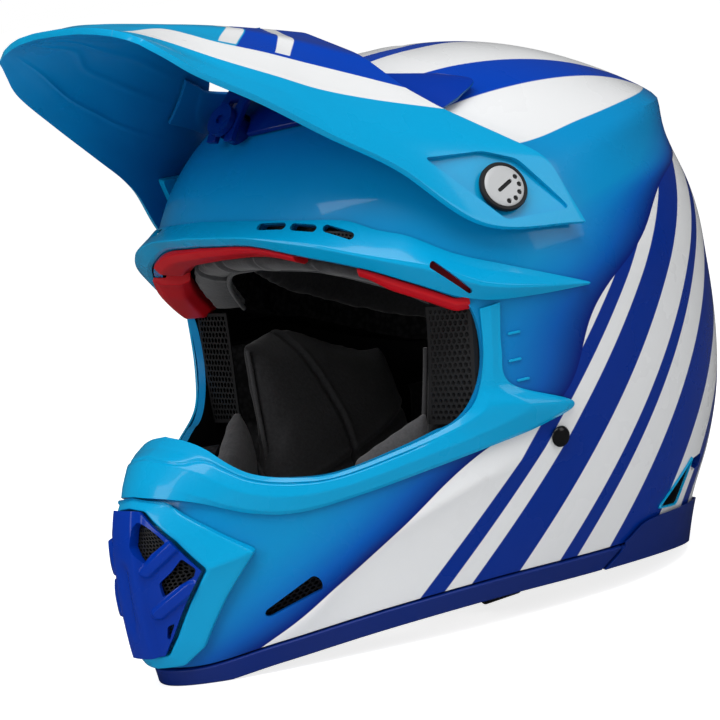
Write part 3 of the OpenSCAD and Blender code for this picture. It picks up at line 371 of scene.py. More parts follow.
def fill_mesh(mesh, points, faces):
    """Puts points in millimetres and lists of equal-sided faces into a mesh."""
    points = np.asarray(points, float).reshape(-1, 3) * MM
    sides = np.concatenate([np.full(len(f), f.shape[1]) for f in faces])
    mesh.vertices.add(len(points))
    mesh.vertices.foreach_set("co", points.ravel())
    mesh.loops.add(int(sides.sum()))
    mesh.loops.foreach_set("vertex_index", np.concatenate([f.ravel() for f in faces]))
    mesh.polygons.add(len(sides))
    mesh.polygons.foreach_set("loop_start", np.concatenate([[0], np.cumsum(sides)[:-1]]))
    mesh.update(calc_edges=True)
    mesh.validate()


def make(name, points, faces):
    """A new object at the origin from points and faces."""
    mesh = bpy.data.meshes.new(name)
    fill_mesh(mesh, points, faces if isinstance(faces, list) else [faces])
    made = bpy.data.objects.new(name, mesh)
    scene.collection.objects.link(made)
    return made


def empty_slots(made, count):
    """Room for materials that are given later, so that faces can already be numbered."""
    for number in range(count):
        made.data.materials.append(None)


def slab(name, top, bottom, wrap=False, under=None):
    """Closed solid between two grids; the faces of the bottom skin take material slot under."""
    rows, columns = top.shape[:2]
    skin = grid_faces(rows, columns, wrap)
    n = rows * columns
    across = np.arange(columns) if wrap else np.arange(columns - 1)
    nxt = (across + 1) % columns
    high = (rows - 1) * columns
    borders = [
        np.stack([across, n + across, n + nxt, nxt], -1),
        np.stack([high + across, high + nxt, n + high + nxt, n + high + across], -1),
    ]
    if not wrap:
        left = np.arange(rows - 1) * columns
        right = left + columns - 1
        borders += [
            np.stack([left, left + columns, n + left + columns, n + left], -1),
            np.stack([right, n + right, n + right + columns, right + columns], -1),
        ]
    faces = np.concatenate([skin, n + skin[:, ::-1], *borders])
    made = make(name, np.concatenate([top.reshape(-1, 3), bottom.reshape(-1, 3)]), faces)
    if under is not None:
        empty_slots(made, under + 1)
        index = np.zeros(len(faces), np.int32)
        index[len(skin) : 2 * len(skin)] = under
        made.data.polygons.foreach_set("material_index", index)
    return made


def bridge(name, ends):
    """Closed solid between two matching loops of points."""
    n = len(ends[0])
    j = np.arange(n)
    k = (j + 1) % n
    faces = [np.stack([j, k, n + k, n + j], -1), j[None, ::-1], (n + j)[None]]
    return make(name, np.concatenate(ends), faces)


def prism(name, outline, spot, normal, low, high, level=None):
    """Solid with the given outline, square to normal at spot, from distance low to high along it."""
    normal = unit(np.asarray(normal, float))
    level = unit(np.cross([0, 0, 1.0], normal)) if level is None else np.asarray(level, float)
    rise = np.cross(normal, level)
    flat = np.asarray(outline, float)
    ahead_of = np.roll(flat, -1, 0)
    if (flat[:, 0] * ahead_of[:, 1] - flat[:, 1] * ahead_of[:, 0]).sum() < 0:
        flat = flat[::-1]
    ring = np.asarray(spot) + flat[:, :1] * level + flat[:, 1:] * rise
    return bridge(name, [ring + low * normal, ring + high * normal])


def circle(radius, sides=40):
    """Outline of a circle."""
    a = np.linspace(0, 2 * np.pi, sides, endpoint=False)
    return radius * np.stack([np.cos(a), np.sin(a)], -1)


def oblong(length, width, turn=0.0, sides=24, taper=0.0):
    """Outline of a slot with round ends, wider at one end by the taper, turned by an angle in degrees."""
    points = circle(width / 2, sides)
    points[:, 0] += np.where(points[:, 0] >= 0, 1, -1) * (length - width) / 2
    points[:, 1] *= 1 + taper * points[:, 0] / (length / 2)
    a = np.radians(turn)
    return points @ np.array([[np.cos(a), np.sin(a)], [-np.sin(a), np.cos(a)]])


def bake(made):
    """Keeps the result of an object's modifiers as its mesh."""
    graph = bpy.context.evaluated_depsgraph_get()
    seen = made.evaluated_get(graph)
    mesh = bpy.data.meshes.new_from_object(seen, preserve_all_data_layers=True, depsgraph=graph)
    made.modifiers.clear()
    made.data = mesh
    return made


def combine(made, others, operation="DIFFERENCE"):
    """Cuts other solids out of an object, or joins them to it, and removes them."""
    for other in others:
        change = made.modifiers.new("cut", "BOOLEAN")
        change.operation = operation
        change.solver = "MANIFOLD"
        change.object = other
    bake(made)
    for other in others:
        bpy.data.objects.remove(other)
    return made


def round_edges(made, width, angle=50, segments=3):
    """Rounds every edge sharper than the angle."""
    bevel = made.modifiers.new("round", "BEVEL")
    bevel.width = width * MM
    bevel.segments = segments
    bevel.limit_method = "ANGLE"
    bevel.angle_limit = math.radians(angle)
    return bake(made)


def dress(made, slot, *materials, body="helmet", stands_for=None, sharp=32):
    """Finishes a piece: materials, smooth faces with true edges, its body and the node it stands for."""
    made.data.name = made.name
    index = np.empty(len(made.data.polygons), np.int32)
    made.data.polygons.foreach_get("material_index", index)
    made.data.materials.clear()
    for material in materials:
        made.data.materials.append(material)
    made.data.polygons.foreach_set("material_index", np.minimum(index, len(materials) - 1))
    made.data.shade_smooth()
    made.data.set_sharp_from_angle(angle=math.radians(sharp))
    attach(made, body)
    if stands_for:
        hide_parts(stands_for)
    return made


def points_of(made):
    """The points of an object's mesh, in millimetres."""
    points = np.empty(3 * len(made.data.vertices))
    made.data.vertices.foreach_get("co", points)
    return points.reshape(-1, 3) / MM


def set_points(made, points):
    """Moves the points of an object's mesh."""
    made.data.vertices.foreach_set("co", (points * MM).ravel())
    made.data.update()


def outward(made):
    """Turns the faces of a closed mesh to point outwards."""
    turned = bmesh.new()
    turned.from_mesh(made.data)
    bmesh.ops.recalc_face_normals(turned, faces=turned.faces)
    turned.to_mesh(made.data)
    turned.free()
    return made


def mirrored(made, name):
    """The same piece on the wearer's right, with its faces turned to point outwards."""
    twin = made.copy()
    twin.data = made.data.copy()
    twin.name = name
    scene.collection.objects.link(twin)
    set_points(twin, points_of(made) * [-1, 1, 1])
    twin.data.flip_normals()
    return twin


def sided(stem):
    """The names of a node on the wearer's left and of its twin on the right."""
    return stem + "left", stem + "right"


def dress_both(made, slot, *materials, nodes=(None, None), **options):
    """Dresses a piece and its twin on the wearer's right; nodes are those that the two stand for."""
    twin = mirrored(made, made.name + ".right")
    for piece, stood in zip((made, twin), nodes):
        dress(piece, slot, *materials, stands_for=stood, **options)


# %% [markdown]
# Two effects serve many finishes. Orange peel is the faint ripple of sprayed or moulded gloss, a noise of a
# few millimetres. Handling is a broad, weak change of roughness, where hands and cloths have passed.

# %% Shared effects
peel_tree, given, out = new_group(
    "orange_peel", {"Place": "Vector", "Scale": "Float"}, {"Height": "Float", "Handling": "Float"}
)
place, scale = given.outputs["Place"], given.outputs["Scale"]
ripple = node(peel_tree, "TexNoise", {"Vector": place, "Scale": scale, "Detail": 2.0})
smear = node(peel_tree, "TexNoise", {"Vector": place, "Scale": 24.0, "Detail": 4.0})
peel_tree.links.new(ripple.outputs["Fac"], out.inputs["Height"])
peel_tree.links.new(smear.outputs["Fac"], out.inputs["Handling"])


def use_group(tree, group_tree, place):
    """A node group in a material's tree, fed with the place that it reads."""
    group = tree.nodes.new("ShaderNodeGroup")
    group.node_tree = group_tree
    tree.links.new(place, group.inputs["Place"])
    return group


def raise_bump(tree, shader, height, depth, strength=1.0):
    """Feeds a height to the shader's normal, as a bump of the given depth in millimetres."""
    bump = node(tree, "Bump", {"Height": height, "Strength": strength, "Distance": depth * MM})
    tree.links.new(bump.outputs["Normal"], shader.inputs["Normal"])


def peel(tree, shader, place, scale, depth, rough_low, rough_high):
    """Adds the orange peel group: a bump of the given depth in millimetres and a changing roughness."""
    group = use_group(tree, peel_tree, place)
    group.inputs["Scale"].default_value = scale
    raise_bump(tree, shader, group.outputs["Height"], depth)
    rough = step(tree, group.outputs["Handling"], 0.3, 0.7, rough_low, rough_high)
    tree.links.new(rough, shader.inputs["Roughness"])


# %% [markdown]
# The shell's paint: a light blue front that deepens to navy along a slanting edge, a white rear panel with
# plain dark stripes, and a white crown with dark stripes. Under the visor the forehead darkens upwards,
# partly in the paint and partly as painted shade from the visor. The edges are curves in angle and height,
# so they stay crisp at any distance.

# %% Paint colours and zones
SKY = (0.001, 0.340, 0.640, 1)
FRONT_BLUE = (0.001, 0.255, 0.560, 1)
FOREHEAD_DEEP_AND_SHADE = (0.000, 0.090, 0.330, 1)
ROYAL = (0.000, 0.050, 0.440, 1)
NAVY = (0.000, 0.009, 0.160, 1)
PANEL_BLUE = (0.000, 0.026, 0.260, 1)
WHITE = (0.790, 0.800, 0.810, 1)
PANEL_EDGE = [(0, 6), (12, 11.6), (22, 17), (35, 23.3), (55, 34.4), (83, 52), (100, 72.5), (142, 85.8)]
PANEL_EDGE += [(164, 101.7), (185, 116), (205, 150), (300, 180)]
CROWN_EDGE = [(0, 268), (30, 266), (46, 246), (56, 230), (75, 219), (100, 224), (125, 228)]
CROWN_EDGE += [(150, 229), (180, 229)]
ARC_MM = 2.2
EDGE_BLUR = 0.5
FADE_STOPS = [(0.35, (0.001, 0.200, 0.540, 1)), (0.7, (0.000, 0.095, 0.420, 1))]
PANEL_STRIPES = [(64, 4.0), (42, 9.0), (12, 4.0), (-20, 12.0), (-56, 5.0)]
PANEL_SLOPE = math.radians(50)
CROWN_STRIPES = [(5, 12, 3), (27, 41, 9)]
IN_DEGREES = 180 / math.pi

paint_tree, given, out = new_group("helmet_paint", {"Place": "Vector"}, {"Color": "Color"})
do, ease, blend = (partial(tool, paint_tree) for tool in (calc, step, tint))
parts = node(paint_tree, "SeparateXYZ", {0: given.outputs["Place"]}).outputs
wide = do("ABSOLUTE", do("MULTIPLY", parts[0], 1 / MM))
ahead = do("SUBTRACT", AXIS_Y, do("MULTIPLY", parts[1], 1 / MM))
high = do("MULTIPLY", parts[2], 1 / MM)
turn = do("MULTIPLY", do("ARCTAN2", wide, ahead), IN_DEGREES)
edge = drawn(paint_tree, high, PANEL_EDGE, 300.0, 180.0)
past = do("MULTIPLY", do("SUBTRACT", turn, edge), ARC_MM)
width = ease(high, 10.0, 170.0, 34.0, 72.0)
share = do("ADD", do("DIVIDE", past, width), 1.0)
fade = node(paint_tree, "ValToRGB", {"Fac": share})
fade.color_ramp.elements[0].color = FRONT_BLUE
fade.color_ramp.elements[1].color = NAVY
for spot, colour in FADE_STOPS:
    fade.color_ramp.elements.new(spot).color = colour
# The forehead darkens upwards under the visor to a deep blue: partly the paint's own fade, partly painted
# shade from the visor.
brow_fade_and_visor_shade = do("MULTIPLY", ease(high, 205.0, 252.0), ease(turn, 95.0, 55.0))
front = blend(do("MULTIPLY", brow_fade_and_visor_shade, 0.75), fade.outputs["Color"], FOREHEAD_DEEP_AND_SHADE)
forward = do("MULTIPLY", parts[1], -math.sin(PANEL_SLOPE) / MM)
along = do("ADD", forward, do("MULTIPLY", high, math.cos(PANEL_SLOPE)))
panel = WHITE
for middle, half in PANEL_STRIPES:
    off = do("ABSOLUTE", do("SUBTRACT", along, float(middle)))
    panel = blend(ease(off, half + EDGE_BLUR / 2, half - EDGE_BLUR / 2), panel, PANEL_BLUE)
side = blend(ease(past, 0.0, EDGE_BLUR), front, panel)
lean = do("MULTIPLY", do("ARCTAN2", wide, do("SUBTRACT", high, BELT_Z)), IN_DEGREES)
taper = ease(ahead, 60.0, -120.0)
crown = WHITE
for inner, outer, drift in CROWN_STRIPES:
    low_edge = do("ADD", do("MULTIPLY", taper, float(drift)), float(inner))
    inside = ease(do("SUBTRACT", lean, low_edge), 0.0, 0.4)
    outside = ease(lean, outer + 0.2, outer - 0.2)
    crown = blend(do("MULTIPLY", inside, outside), crown, ROYAL)
crown_edge = drawn(paint_tree, turn, CROWN_EDGE, 180.0, 300.0)
topped = ease(do("SUBTRACT", high, crown_edge), 0.0, EDGE_BLUR)
paint_tree.links.new(blend(topped, side, crown), out.inputs["Color"])
CLEAR_COAT = {"Coat_Weight": 0.3, "Coat_Roughness": 0.06, "Specular_IOR_Level": 0.16}
PAINT_PEEL = (420.0, 0.012, 0.24, 0.36)


def painted(name, colour=None, tree_of_colour=None):
    """Clear-coated paint: a plain colour, or the colour of a node group that reads the place."""
    material, tree, shader = new_material(name, 0.3, **CLEAR_COAT)
    place = object_place(tree)
    if tree_of_colour:
        zones = use_group(tree, tree_of_colour, place)
        tree.links.new(zones.outputs["Color"], shader.inputs["Base Color"])
    else:
        shader.inputs["Base Color"].default_value = colour
    peel(tree, shader, place, *PAINT_PEEL)
    return material


shell_paint = painted("shell_paint", tree_of_colour=paint_tree)
sky_gloss = painted("sky_gloss", SKY)
royal_gloss = painted("royal_gloss", (0.000, 0.032, 0.330, 1))
navy_gloss = painted("navy_gloss", (0.000, 0.010, 0.130, 1))


def moulded(name, colour, rough):
    """Satin moulded plastic or rubber with a fine grain."""
    material, tree, shader = new_material(name, rough, colour[:3], Specular_IOR_Level=0.3)
    peel(tree, shader, object_place(tree), 900.0, 0.03, rough - 0.06, rough + 0.08)
    return material


trim_rubber = moulded("trim_rubber", (0.000, 0.017, 0.170, 1), 0.42)
black_plastic = moulded("black_plastic", (0.012, 0.012, 0.013, 1), 0.5)

# %% [markdown]
# The shell is one thin, stiff moulding with a wide eyeport. Two grids make its outer skin, from the rim up
# to the eyeport's lower edge and from its upper edge over the crown; beside the eyeport they share points.
# Solidify gives the wall, and booleans cut the vents and the screw holes. The rear gill is cut square to the
# surface, with dark walls, and a thin raised rim borders it.

# %% Shell
EYE_TOP, EYE_DIP, LIP_Z, EYE_ANGLE, EYE_CORNER_Z = 195.0, 87.0, 112.0, 61.0, 130.0
LOW_BEND, HIGH_BEND = 52.0, 57.0
CROWN_RUN, TOP_SHARE = 187.0, 0.95
MERGE = 0.02
DIP = [(0, LIP_Z), (6, LIP_Z - 2), (12, LIP_Z - 7), (20, EYE_DIP + 6), (27, EYE_DIP + 1), (34, EYE_DIP)]
DIP += [(45, EYE_DIP + 6), (LOW_BEND, EYE_DIP + 11)]
LID = [(0, EYE_TOP), (15, EYE_TOP - 1.5), (25, EYE_TOP - 7), (40, EYE_TOP - 18), (50, EYE_TOP - 29)]
LID += [(HIGH_BEND, EYE_TOP - 38)]


def eye_edge(t, table, start):
    """Eyeport edge: the table's curve, then a quarter ellipse from angle start into the outer corner."""
    a = np.abs(t)
    bend = np.sqrt(np.maximum(0, 1 - ((a - start) / (EYE_ANGLE - start)) ** 2))
    round_end = EYE_CORNER_Z + (table[-1][1] - EYE_CORNER_Z) * bend
    return np.where(a >= EYE_ANGLE, EYE_CORNER_Z, np.where(a > start, round_end, curve(table, a)))


def upward(z0, f):
    """Height a share f of the way from z0 to the crown, in steps that stay even along the surface."""
    up = (np.maximum(z0, BELT_Z) - BELT_Z) / (SHELL_H - BELT_Z)
    over_belt = np.arcsin(np.minimum(1, up ** (CROWN_POWER / 2))) * 2 / np.pi
    low = np.where(z0 >= BELT_Z, over_belt, (z0 - BELT_Z) / CROWN_RUN)
    g = mix(low, TOP_SHARE, f)
    over = BELT_Z + (SHELL_H - BELT_Z) * np.sin(np.pi / 2 * np.maximum(g, 0)) ** (2 / CROWN_POWER)
    return np.where(g < 0, BELT_Z + CROWN_RUN * g, over)


half = np.concatenate(
    [
        np.linspace(0, LOW_BEND, 53),
        LOW_BEND + (EYE_ANGLE - LOW_BEND) * np.sin(np.linspace(0, np.pi / 2, 15))[1:],
        np.linspace(EYE_ANGLE, 180, 76)[1:],
    ]
)
columns = np.concatenate([-half[-2:0:-1], half])
low_share, high_share = np.linspace(0, 1, 37)[:, None], np.linspace(0, 1, 58)[:, None]
below = shell_pt(columns, mix(rim_at(columns), eye_edge(columns, DIP, LOW_BEND), low_share))
above = shell_pt(columns, upward(eye_edge(columns, LID, HIGH_BEND), high_share))
count = len(columns)
start = below.shape[0] * count
top_ring = start + (above.shape[0] - 1) * count + np.arange(count)
pole = start + above.shape[0] * count
cap = np.stack([top_ring, np.roll(top_ring, -1), np.full(count, pole)], -1)
points = np.concatenate([below.reshape(-1, 3), above.reshape(-1, 3), shell_pt(0, SHELL_H)[None]])
shell = make(
    "helmet_shell",
    points,
    [grid_faces(below.shape[0], count, True), start + grid_faces(above.shape[0], count, True), cap],
)
joined = bmesh.new()
joined.from_mesh(shell.data)
bmesh.ops.remove_doubles(joined, verts=joined.verts, dist=MERGE * MM)
joined.to_mesh(shell.data)
joined.free()
empty_slots(shell, 2)
wall = shell.modifiers.new("wall", "SOLIDIFY")
wall.material_offset = 1
wall.thickness = SHELL_T * MM
wall.offset = -1
wall.use_even_offset = True
bake(shell)

PIVOT_Y, PIVOT_Z, PIVOT_X = -14.0, 201.5, 107.378
PIVOT = np.array([0, PIVOT_Y, PIVOT_Z])
TONGUE_ANGLE, TONGUE_R = math.radians(37), 77.4834
TONGUE_N = np.array([0, -math.cos(TONGUE_ANGLE), math.sin(TONGUE_ANGLE)])
BUSH_R, FIT = 6.0, 0.06
RIVET_BORE, SCREW_BORE, CUT_REACH = 2.56, 7.06, 15
RIVET_T, RIVET_HEIGHT = 75.5, 83.0
CHIN_VENT_Z, CHIN_VENT_H = 51.0, 26.0
VENT_HALF = np.array([(0, -1), (0.28, -0.98), (0.9, 0.1), (0.26, 0.98), (0, 1)])
JAW_SLOT_T, JAW_SLOT_Z, JAW_SLOT_TURN, JAW_SLOT_LEN, JAW_SLOT_W = 27.0, 33.0, 22.0, 30.0, 6.0
BROW_SLOTS = [(21.6, 200.2, 14.5, -5), (29, 197.9, 13, -13), (36.4, 193.8, 15.5, -27)]
BROW_SLOT_H = 4.2
WING_SLIT = (56.2, 166.3, 24, -44)
REAR_VENT_T, REAR_VENT_Z, REAR_VENT_LEN, REAR_VENT_W = 122.0, 46.0, 16, 7
REAR_GILL = np.array([(103.7, 32.6), (112.6, 30.5), (117.5, 51.0)])
GILL_STEPS, GILL_CORNER, GILL_REACH = 16, 0.12, 12.0
SIDES = (1, -1)


def both_ways(outline):
    """A closed outline from its right half, listed from the bottom up."""
    half = np.asarray(outline, float)
    return np.concatenate([half, half[-2:0:-1] * [-1, 1]])


def seat(t, z):
    """Place and normal of the surface at one spot."""
    return shell_pt(t, z), shell_n(t, z)


def slot_cutters(rows, height, taper=0.0):
    """One box for each slot of a row, on both sides."""
    cutters = []
    for side in SIDES:
        for t, z, length, turn in rows:
            spot, normal = seat(side * t, z)
            outline = oblong(length, height, side * turn, 16, side * taper)
            cutters.append(prism("slot", outline, spot, normal, -CUT_REACH, CUT_REACH))
    return cutters


def averaged(read, f, fold):
    """Moving average that rounds corners: the mean of read at nine places within fold of f."""
    taps = np.linspace(-fold, fold, 9)
    return sum(read(f + tap) for tap in taps) / len(taps)


def round_loop(outline, per_side, fold):
    """Closed outline resampled between its corners, with each corner rounded by a moving average."""
    n = len(outline)

    def read(q):
        q = q % n
        i = np.floor(q).astype(int) % n
        return mix(outline[i], outline[(i + 1) % n], (q - np.floor(q))[:, None])

    return averaged(read, np.arange(n * per_side) / per_side, fold)


def gill_loop(size):
    """The rear gill's outline of angles and heights, with round corners, scaled about its middle."""
    middle = REAR_GILL.mean(0)
    return middle + size * (round_loop(REAR_GILL, GILL_STEPS, GILL_CORNER) - middle)


def gill_cutter(side):
    """Solid that cuts the gill square to the surface; its faces take the second material."""
    loop = gill_loop(0.95)
    ends = [on_shell(side * loop[:, 0], loop[:, 1], off) for off in (-GILL_REACH, GILL_REACH)]
    cutter = outward(bridge("gill", ends))
    empty_slots(cutter, 2)
    cutter.data.polygons.foreach_set("material_index", np.ones(len(cutter.data.polygons), np.int32))
    return cutter


vent_outline = both_ways(VENT_HALF * CHIN_VENT_H)
vent_spot = (0, AXIS_Y - JAW_REACH, CHIN_VENT_Z)
cutters = [prism("vent", vent_outline, vent_spot, (0, -1, 0), 0, CHIN_JUT + 20)]
cutters += slot_cutters([(JAW_SLOT_T, JAW_SLOT_Z, JAW_SLOT_LEN, JAW_SLOT_TURN)], JAW_SLOT_W, 0.4)
cutters += slot_cutters(BROW_SLOTS, BROW_SLOT_H)
cutters += slot_cutters([(REAR_VENT_T, REAR_VENT_Z, REAR_VENT_LEN, 0)], REAR_VENT_W)
cutters += [gill_cutter(side) for side in SIDES]
for side in SIDES:
    cutters.append(prism("bore", circle(BUSH_R + FIT), PIVOT, (side, 0, 0), PIVOT_X - 30, PIVOT_X + 30))
    cutters.append(prism("bore", circle(RIVET_BORE), *seat(side * RIVET_T, RIVET_HEIGHT), -10, 10))
cutters.append(prism("bore", circle(SCREW_BORE), PIVOT, TONGUE_N, TONGUE_R - 30, TONGUE_R + 10))
combine(shell, cutters)
dress(shell, "shell_paint", shell_paint, black_plastic, stands_for="outer_shell", sharp=28)
print("shell faces:", len(shell.data.polygons))

f = np.array([0, 0.2, 0.8, 1.0])[:, None, None]
ring = mix(gill_loop(1.07)[::-1], gill_loop(0.93)[::-1], f)
gill_off = np.array([0.3, 1.1, 1.1, 0.3])[:, None]
gill_rim = outward(slab("rear_gill_rim", *two_skins(ring[..., 0], ring[..., 1], gill_off, 0.1), wrap=True))
dress_both(gill_rim, "shell_paint", sky_gloss, sharp=40)

# %% [markdown]
# The peak is a thin moulding that folds down at its sides. Six rails run along it, from the middle to the
# edge, and the surface is straight between rails with each fold rounded by a moving average. Its underside
# has lengthwise stiffening ribs; its plain blue, darker than the top and darker still towards the rear, is
# painted shade.

# %% Visor
NET = np.array(
    [
        [(0, 153, 105), (0, 146, 105), (0, 136, 105), (0, 106, 101)]
        + [(0, 78, 97), (0, 54, 93), (0, 32, 89), (0, 12, 85)],
        [(16, 152, 104.7), (20, 143, 104.5), (22, 131, 103), (26, 101, 98)]
        + [(33, 74, 92), (42, 59, 86), (51, 42, 78), (58, 24, 70)],
        [(30, 151, 103.3), (31, 135, 101.5), (33, 112, 97), (48, 98, 88)]
        + [(56, 79, 80), (62, 61, 72), (69, 38, 62), (76, 16, 52)],
        [(40, 149, 101.3), (43, 139, 98), (48, 127, 92), (62, 109, 80)]
        + [(70, 87, 69), (75, 66, 59), (80, 40, 50), (88, 6, 40)],
        [(49, 147, 98.5), (56, 137, 91.5), (63, 124, 82), (75, 100, 66)]
        + [(83, 76, 51), (92, 46, 36), (102, 14, 25), (117, -27, 11)],
        [(55, 145, 95.5), (63, 138, 87.5), (71, 128, 77), (82, 104, 60)]
        + [(91, 76, 39), (102, 49, 19), (119, 18, -13), (129, -34, -22)],
    ],
    float,
)


def from_pivot(rows):
    """Points from rows of distance from the middle, reach ahead of the pivot and height above it."""
    return np.stack([rows[..., 0], PIVOT_Y - rows[..., 1], PIVOT_Z + rows[..., 2]], -1)


RAILS = from_pivot(NET)
LANES, STATIONS = 5, 7
VISOR_T = 3.0
FOLD = 0.17


def visor_pt(s, r):
    """Point at station s along the rails and place r across: straight between rails, folds rounded."""
    along = np.stack([through(rail, s) for rail in RAILS], 1)
    full = np.concatenate([along[:, :0:-1] * [-1, 1, 1], along], 1)

    def read(q):
        i = np.clip(np.floor(q + LANES).astype(int), 0, 2 * LANES - 1)
        return mix(full[:, i], full[:, i + 1], (q + LANES - i)[None, :, None])

    return averaged(read, r, FOLD)


def grid_n(g):
    """Outward normals of a grid of points whose rows run back and columns run to the wearer's left."""
    return unit(np.cross(np.gradient(g, axis=1), np.gradient(g, axis=0)))


s_rows = np.linspace(0, STATIONS, 120)
r_columns = np.linspace(-LANES, LANES, 201)
visor_top = visor_pt(s_rows, r_columns)
visor_n = grid_n(visor_top)
rib_lines = np.array([0.7, 1.5, 2.3, 3.4])
ribs = np.exp(-(((np.abs(r_columns)[:, None] - rib_lines) / 0.07) ** 2)).sum(1)
rib_h = 0.5 * ribs[None, :] * (ramp(s_rows, 0.3, 1.4) * ramp(s_rows, 6.2, 4.5))[:, None]
visor_low = visor_top - visor_n * (VISOR_T + rib_h)[..., None]


def set_place(made, across, along):
    """Writes a UV map named place, one pair for each vertex."""
    pairs = np.stack([np.ravel(across), np.ravel(along)], -1)
    corner = np.empty(len(made.data.loops), np.int32)
    made.data.loops.foreach_get("vertex_index", corner)
    made.data.uv_layers.new(name="place").data.foreach_set("uv", pairs[corner].ravel())


visor = slab("peak_visor", visor_top, visor_low, under=1)
lane = np.broadcast_to(np.abs(r_columns)[None, :] / LANES, visor_top.shape[:2])
run = np.broadcast_to(s_rows[:, None] / STATIONS, visor_top.shape[:2])
set_place(visor, np.concatenate([lane, lane]), np.concatenate([run, run]))
round_edges(visor, 1.2, angle=60)
ARM_GAP = 5.0
PANEL_X, PANEL_T = PIVOT_X + ARM_GAP, 2.6
ARM_N = unit(np.array([1, -0.2, 0.42]))
ARM_SPOT = np.array([PANEL_X, PIVOT_Y, PIVOT_Z])
PANEL = np.array([(-35, 21), (-4, 19), (12, 12), (29, -13), (30, -16), (-5, -16)], float)


def softened(outline, radius, steps=6):
    """An outline with each corner cut to a short arc: a quadratic curve between two points beside it."""
    before, after = np.roll(outline, 1, 0), np.roll(outline, -1, 0)
    sides = [np.linalg.norm(other - outline, axis=1) for other in (before, after)]
    reach = [np.minimum(radius, 0.4 * length)[:, None] for length in sides]
    enter, leave = outline + reach[0] * unit(before - outline), outline + reach[1] * unit(after - outline)
    f = np.linspace(0, 1, steps)[None, :, None]
    arc = (1 - f) ** 2 * enter[:, None] + 2 * f * (1 - f) * outline[:, None] + f**2 * leave[:, None]
    return arc.reshape(-1, 2)


def in_pairs(solid):
    """A solid and its twin on the wearer's right."""
    return [solid, mirrored(solid, solid.name + "_right")]


grown = PANEL * (1 + 3 / np.linalg.norm(PANEL, axis=1, keepdims=True))
combine(visor, in_pairs(prism("plate", softened(grown, 3), ARM_SPOT, ARM_N, -PANEL_T, 1)), "UNION")
recess = in_pairs(prism("recess", softened(PANEL, 3), ARM_SPOT, ARM_N, 0, 20))
bore = in_pairs(prism("bore", circle(BUSH_R + FIT), PIVOT, (1, 0, 0), 60, 200))
combine(visor, recess + bore)

# The underside's blues are painted shade: a darker blue than the top, deepening further towards the rear
# under the peak.
SHADED_UNDER_FRONT, SHADED_UNDER_REAR = (0.001, 0.250, 0.600, 1), (0.001, 0.085, 0.290, 1)
visor_underside_shade, tree, shader = new_material(
    "visor_underside_painted_shade", 0.32, Coat_Weight=0.2, Coat_Roughness=0.1, Specular_IOR_Level=0.16
)
place = object_place(tree)
behind = node(tree, "SeparateXYZ", {0: place}).outputs[1]
under_shade_tint = tint(tree, step(tree, behind, -0.17, 0.0), SHADED_UNDER_FRONT, SHADED_UNDER_REAR)
tree.links.new(under_shade_tint, shader.inputs["Base Color"])
peel(tree, shader, place, 600.0, 0.02, 0.26, 0.4)

VISOR_BARS = [(4.6, 5.0), (5.85, 6.25)]
BAR_BLUR = 0.03
visor_paint, tree, shader = new_material("visor_paint", 0.3, **(CLEAR_COAT | {"Coat_Roughness": 0.08}))
do, ease, blend = (partial(tool, tree) for tool in (calc, step, tint))
lanes = node(tree, "SeparateXYZ", {0: node(tree, "UVMap", uv_map="place").outputs["UV"]}).outputs
lane_r, lane_s = do("MULTIPLY", lanes[0], float(LANES)), do("MULTIPLY", lanes[1], float(STATIONS))
slanted = do("ADD", lane_s, do("MULTIPLY", lane_r, 0.8))
middle = blend(ease(slanted, 5.0, 5.0 + BAR_BLUR), SKY, ROYAL)
for low_end, high_end in VISOR_BARS:
    starts = ease(slanted, low_end, low_end + BAR_BLUR)
    stops = ease(slanted, high_end, high_end - BAR_BLUR)
    bar = do("MULTIPLY", do("MULTIPLY", starts, stops), ease(lane_r, 1.92, 1.9))
    middle = blend(bar, middle, WHITE)
stripe = do("ADD", do("MULTIPLY", ease(lane_s, 0.3, 2.0), -0.95), 2.98)
striped = blend(ease(do("SUBTRACT", lane_r, stripe), -0.01, 0.01), middle, WHITE)
zones = blend(ease(lane_r, 2.97, 2.99), striped, SKY)
tree.links.new(zones, shader.inputs["Base Color"])
peel(tree, shader, object_place(tree), *PAINT_PEEL)
dress(visor, "visor_plastic", visor_paint, visor_underside_shade, body="visor", stands_for="visor", sharp=30)

TONGUE_T, TONGUE_W, FORK_W, POST_W = 3.0, 9.5, 3.4, 6.5


def arc_plate(name, low, high, half_w, grow=0.0):
    """Curved plate about the pivot axis between two angles above the level."""
    a = np.radians(np.linspace(low, high, 24))[:, None]
    x = np.linspace(-half_w, half_w, 9)[None, :]
    skins = []
    for radius in (TONGUE_R + TONGUE_T + grow, TONGUE_R - grow):
        y, z = PIVOT_Y - radius * np.cos(a), PIVOT_Z + radius * np.sin(a)
        skins.append(np.stack(np.broadcast_arrays(x, y, z), -1))
    return slab(name, *skins)


tongue = combine(arc_plate("visor_tongue", 30, 60, TONGUE_W), [arc_plate("fork", 29, 46, FORK_W, 1)])
round_edges(tongue, 0.6)
post_r, post_lean = TONGUE_R + TONGUE_T / 2, math.radians(60)
post_y = PIVOT_Y - post_r * math.cos(post_lean) - 1
post_z = PIVOT_Z + post_r * math.sin(post_lean) - 2
middle_line = np.stack([-RAILS[0, :, 1], RAILS[0, :, 2]], -1)
roof = float(curve(middle_line[np.argsort(middle_line[:, 0])], -post_y))
post_outline = softened(np.array([(-POST_W, -2.25), (POST_W, -2.25), (POST_W, 2.25), (-POST_W, 2.25)]), 1.2)
post_h = roof - VISOR_T / 2 - post_z
post = prism("visor_post", post_outline, (0, post_y, post_z), (0, 0, 1), 0, post_h, level=(1, 0, 0))
dress(tongue, "visor_plastic", navy_gloss, body="visor")
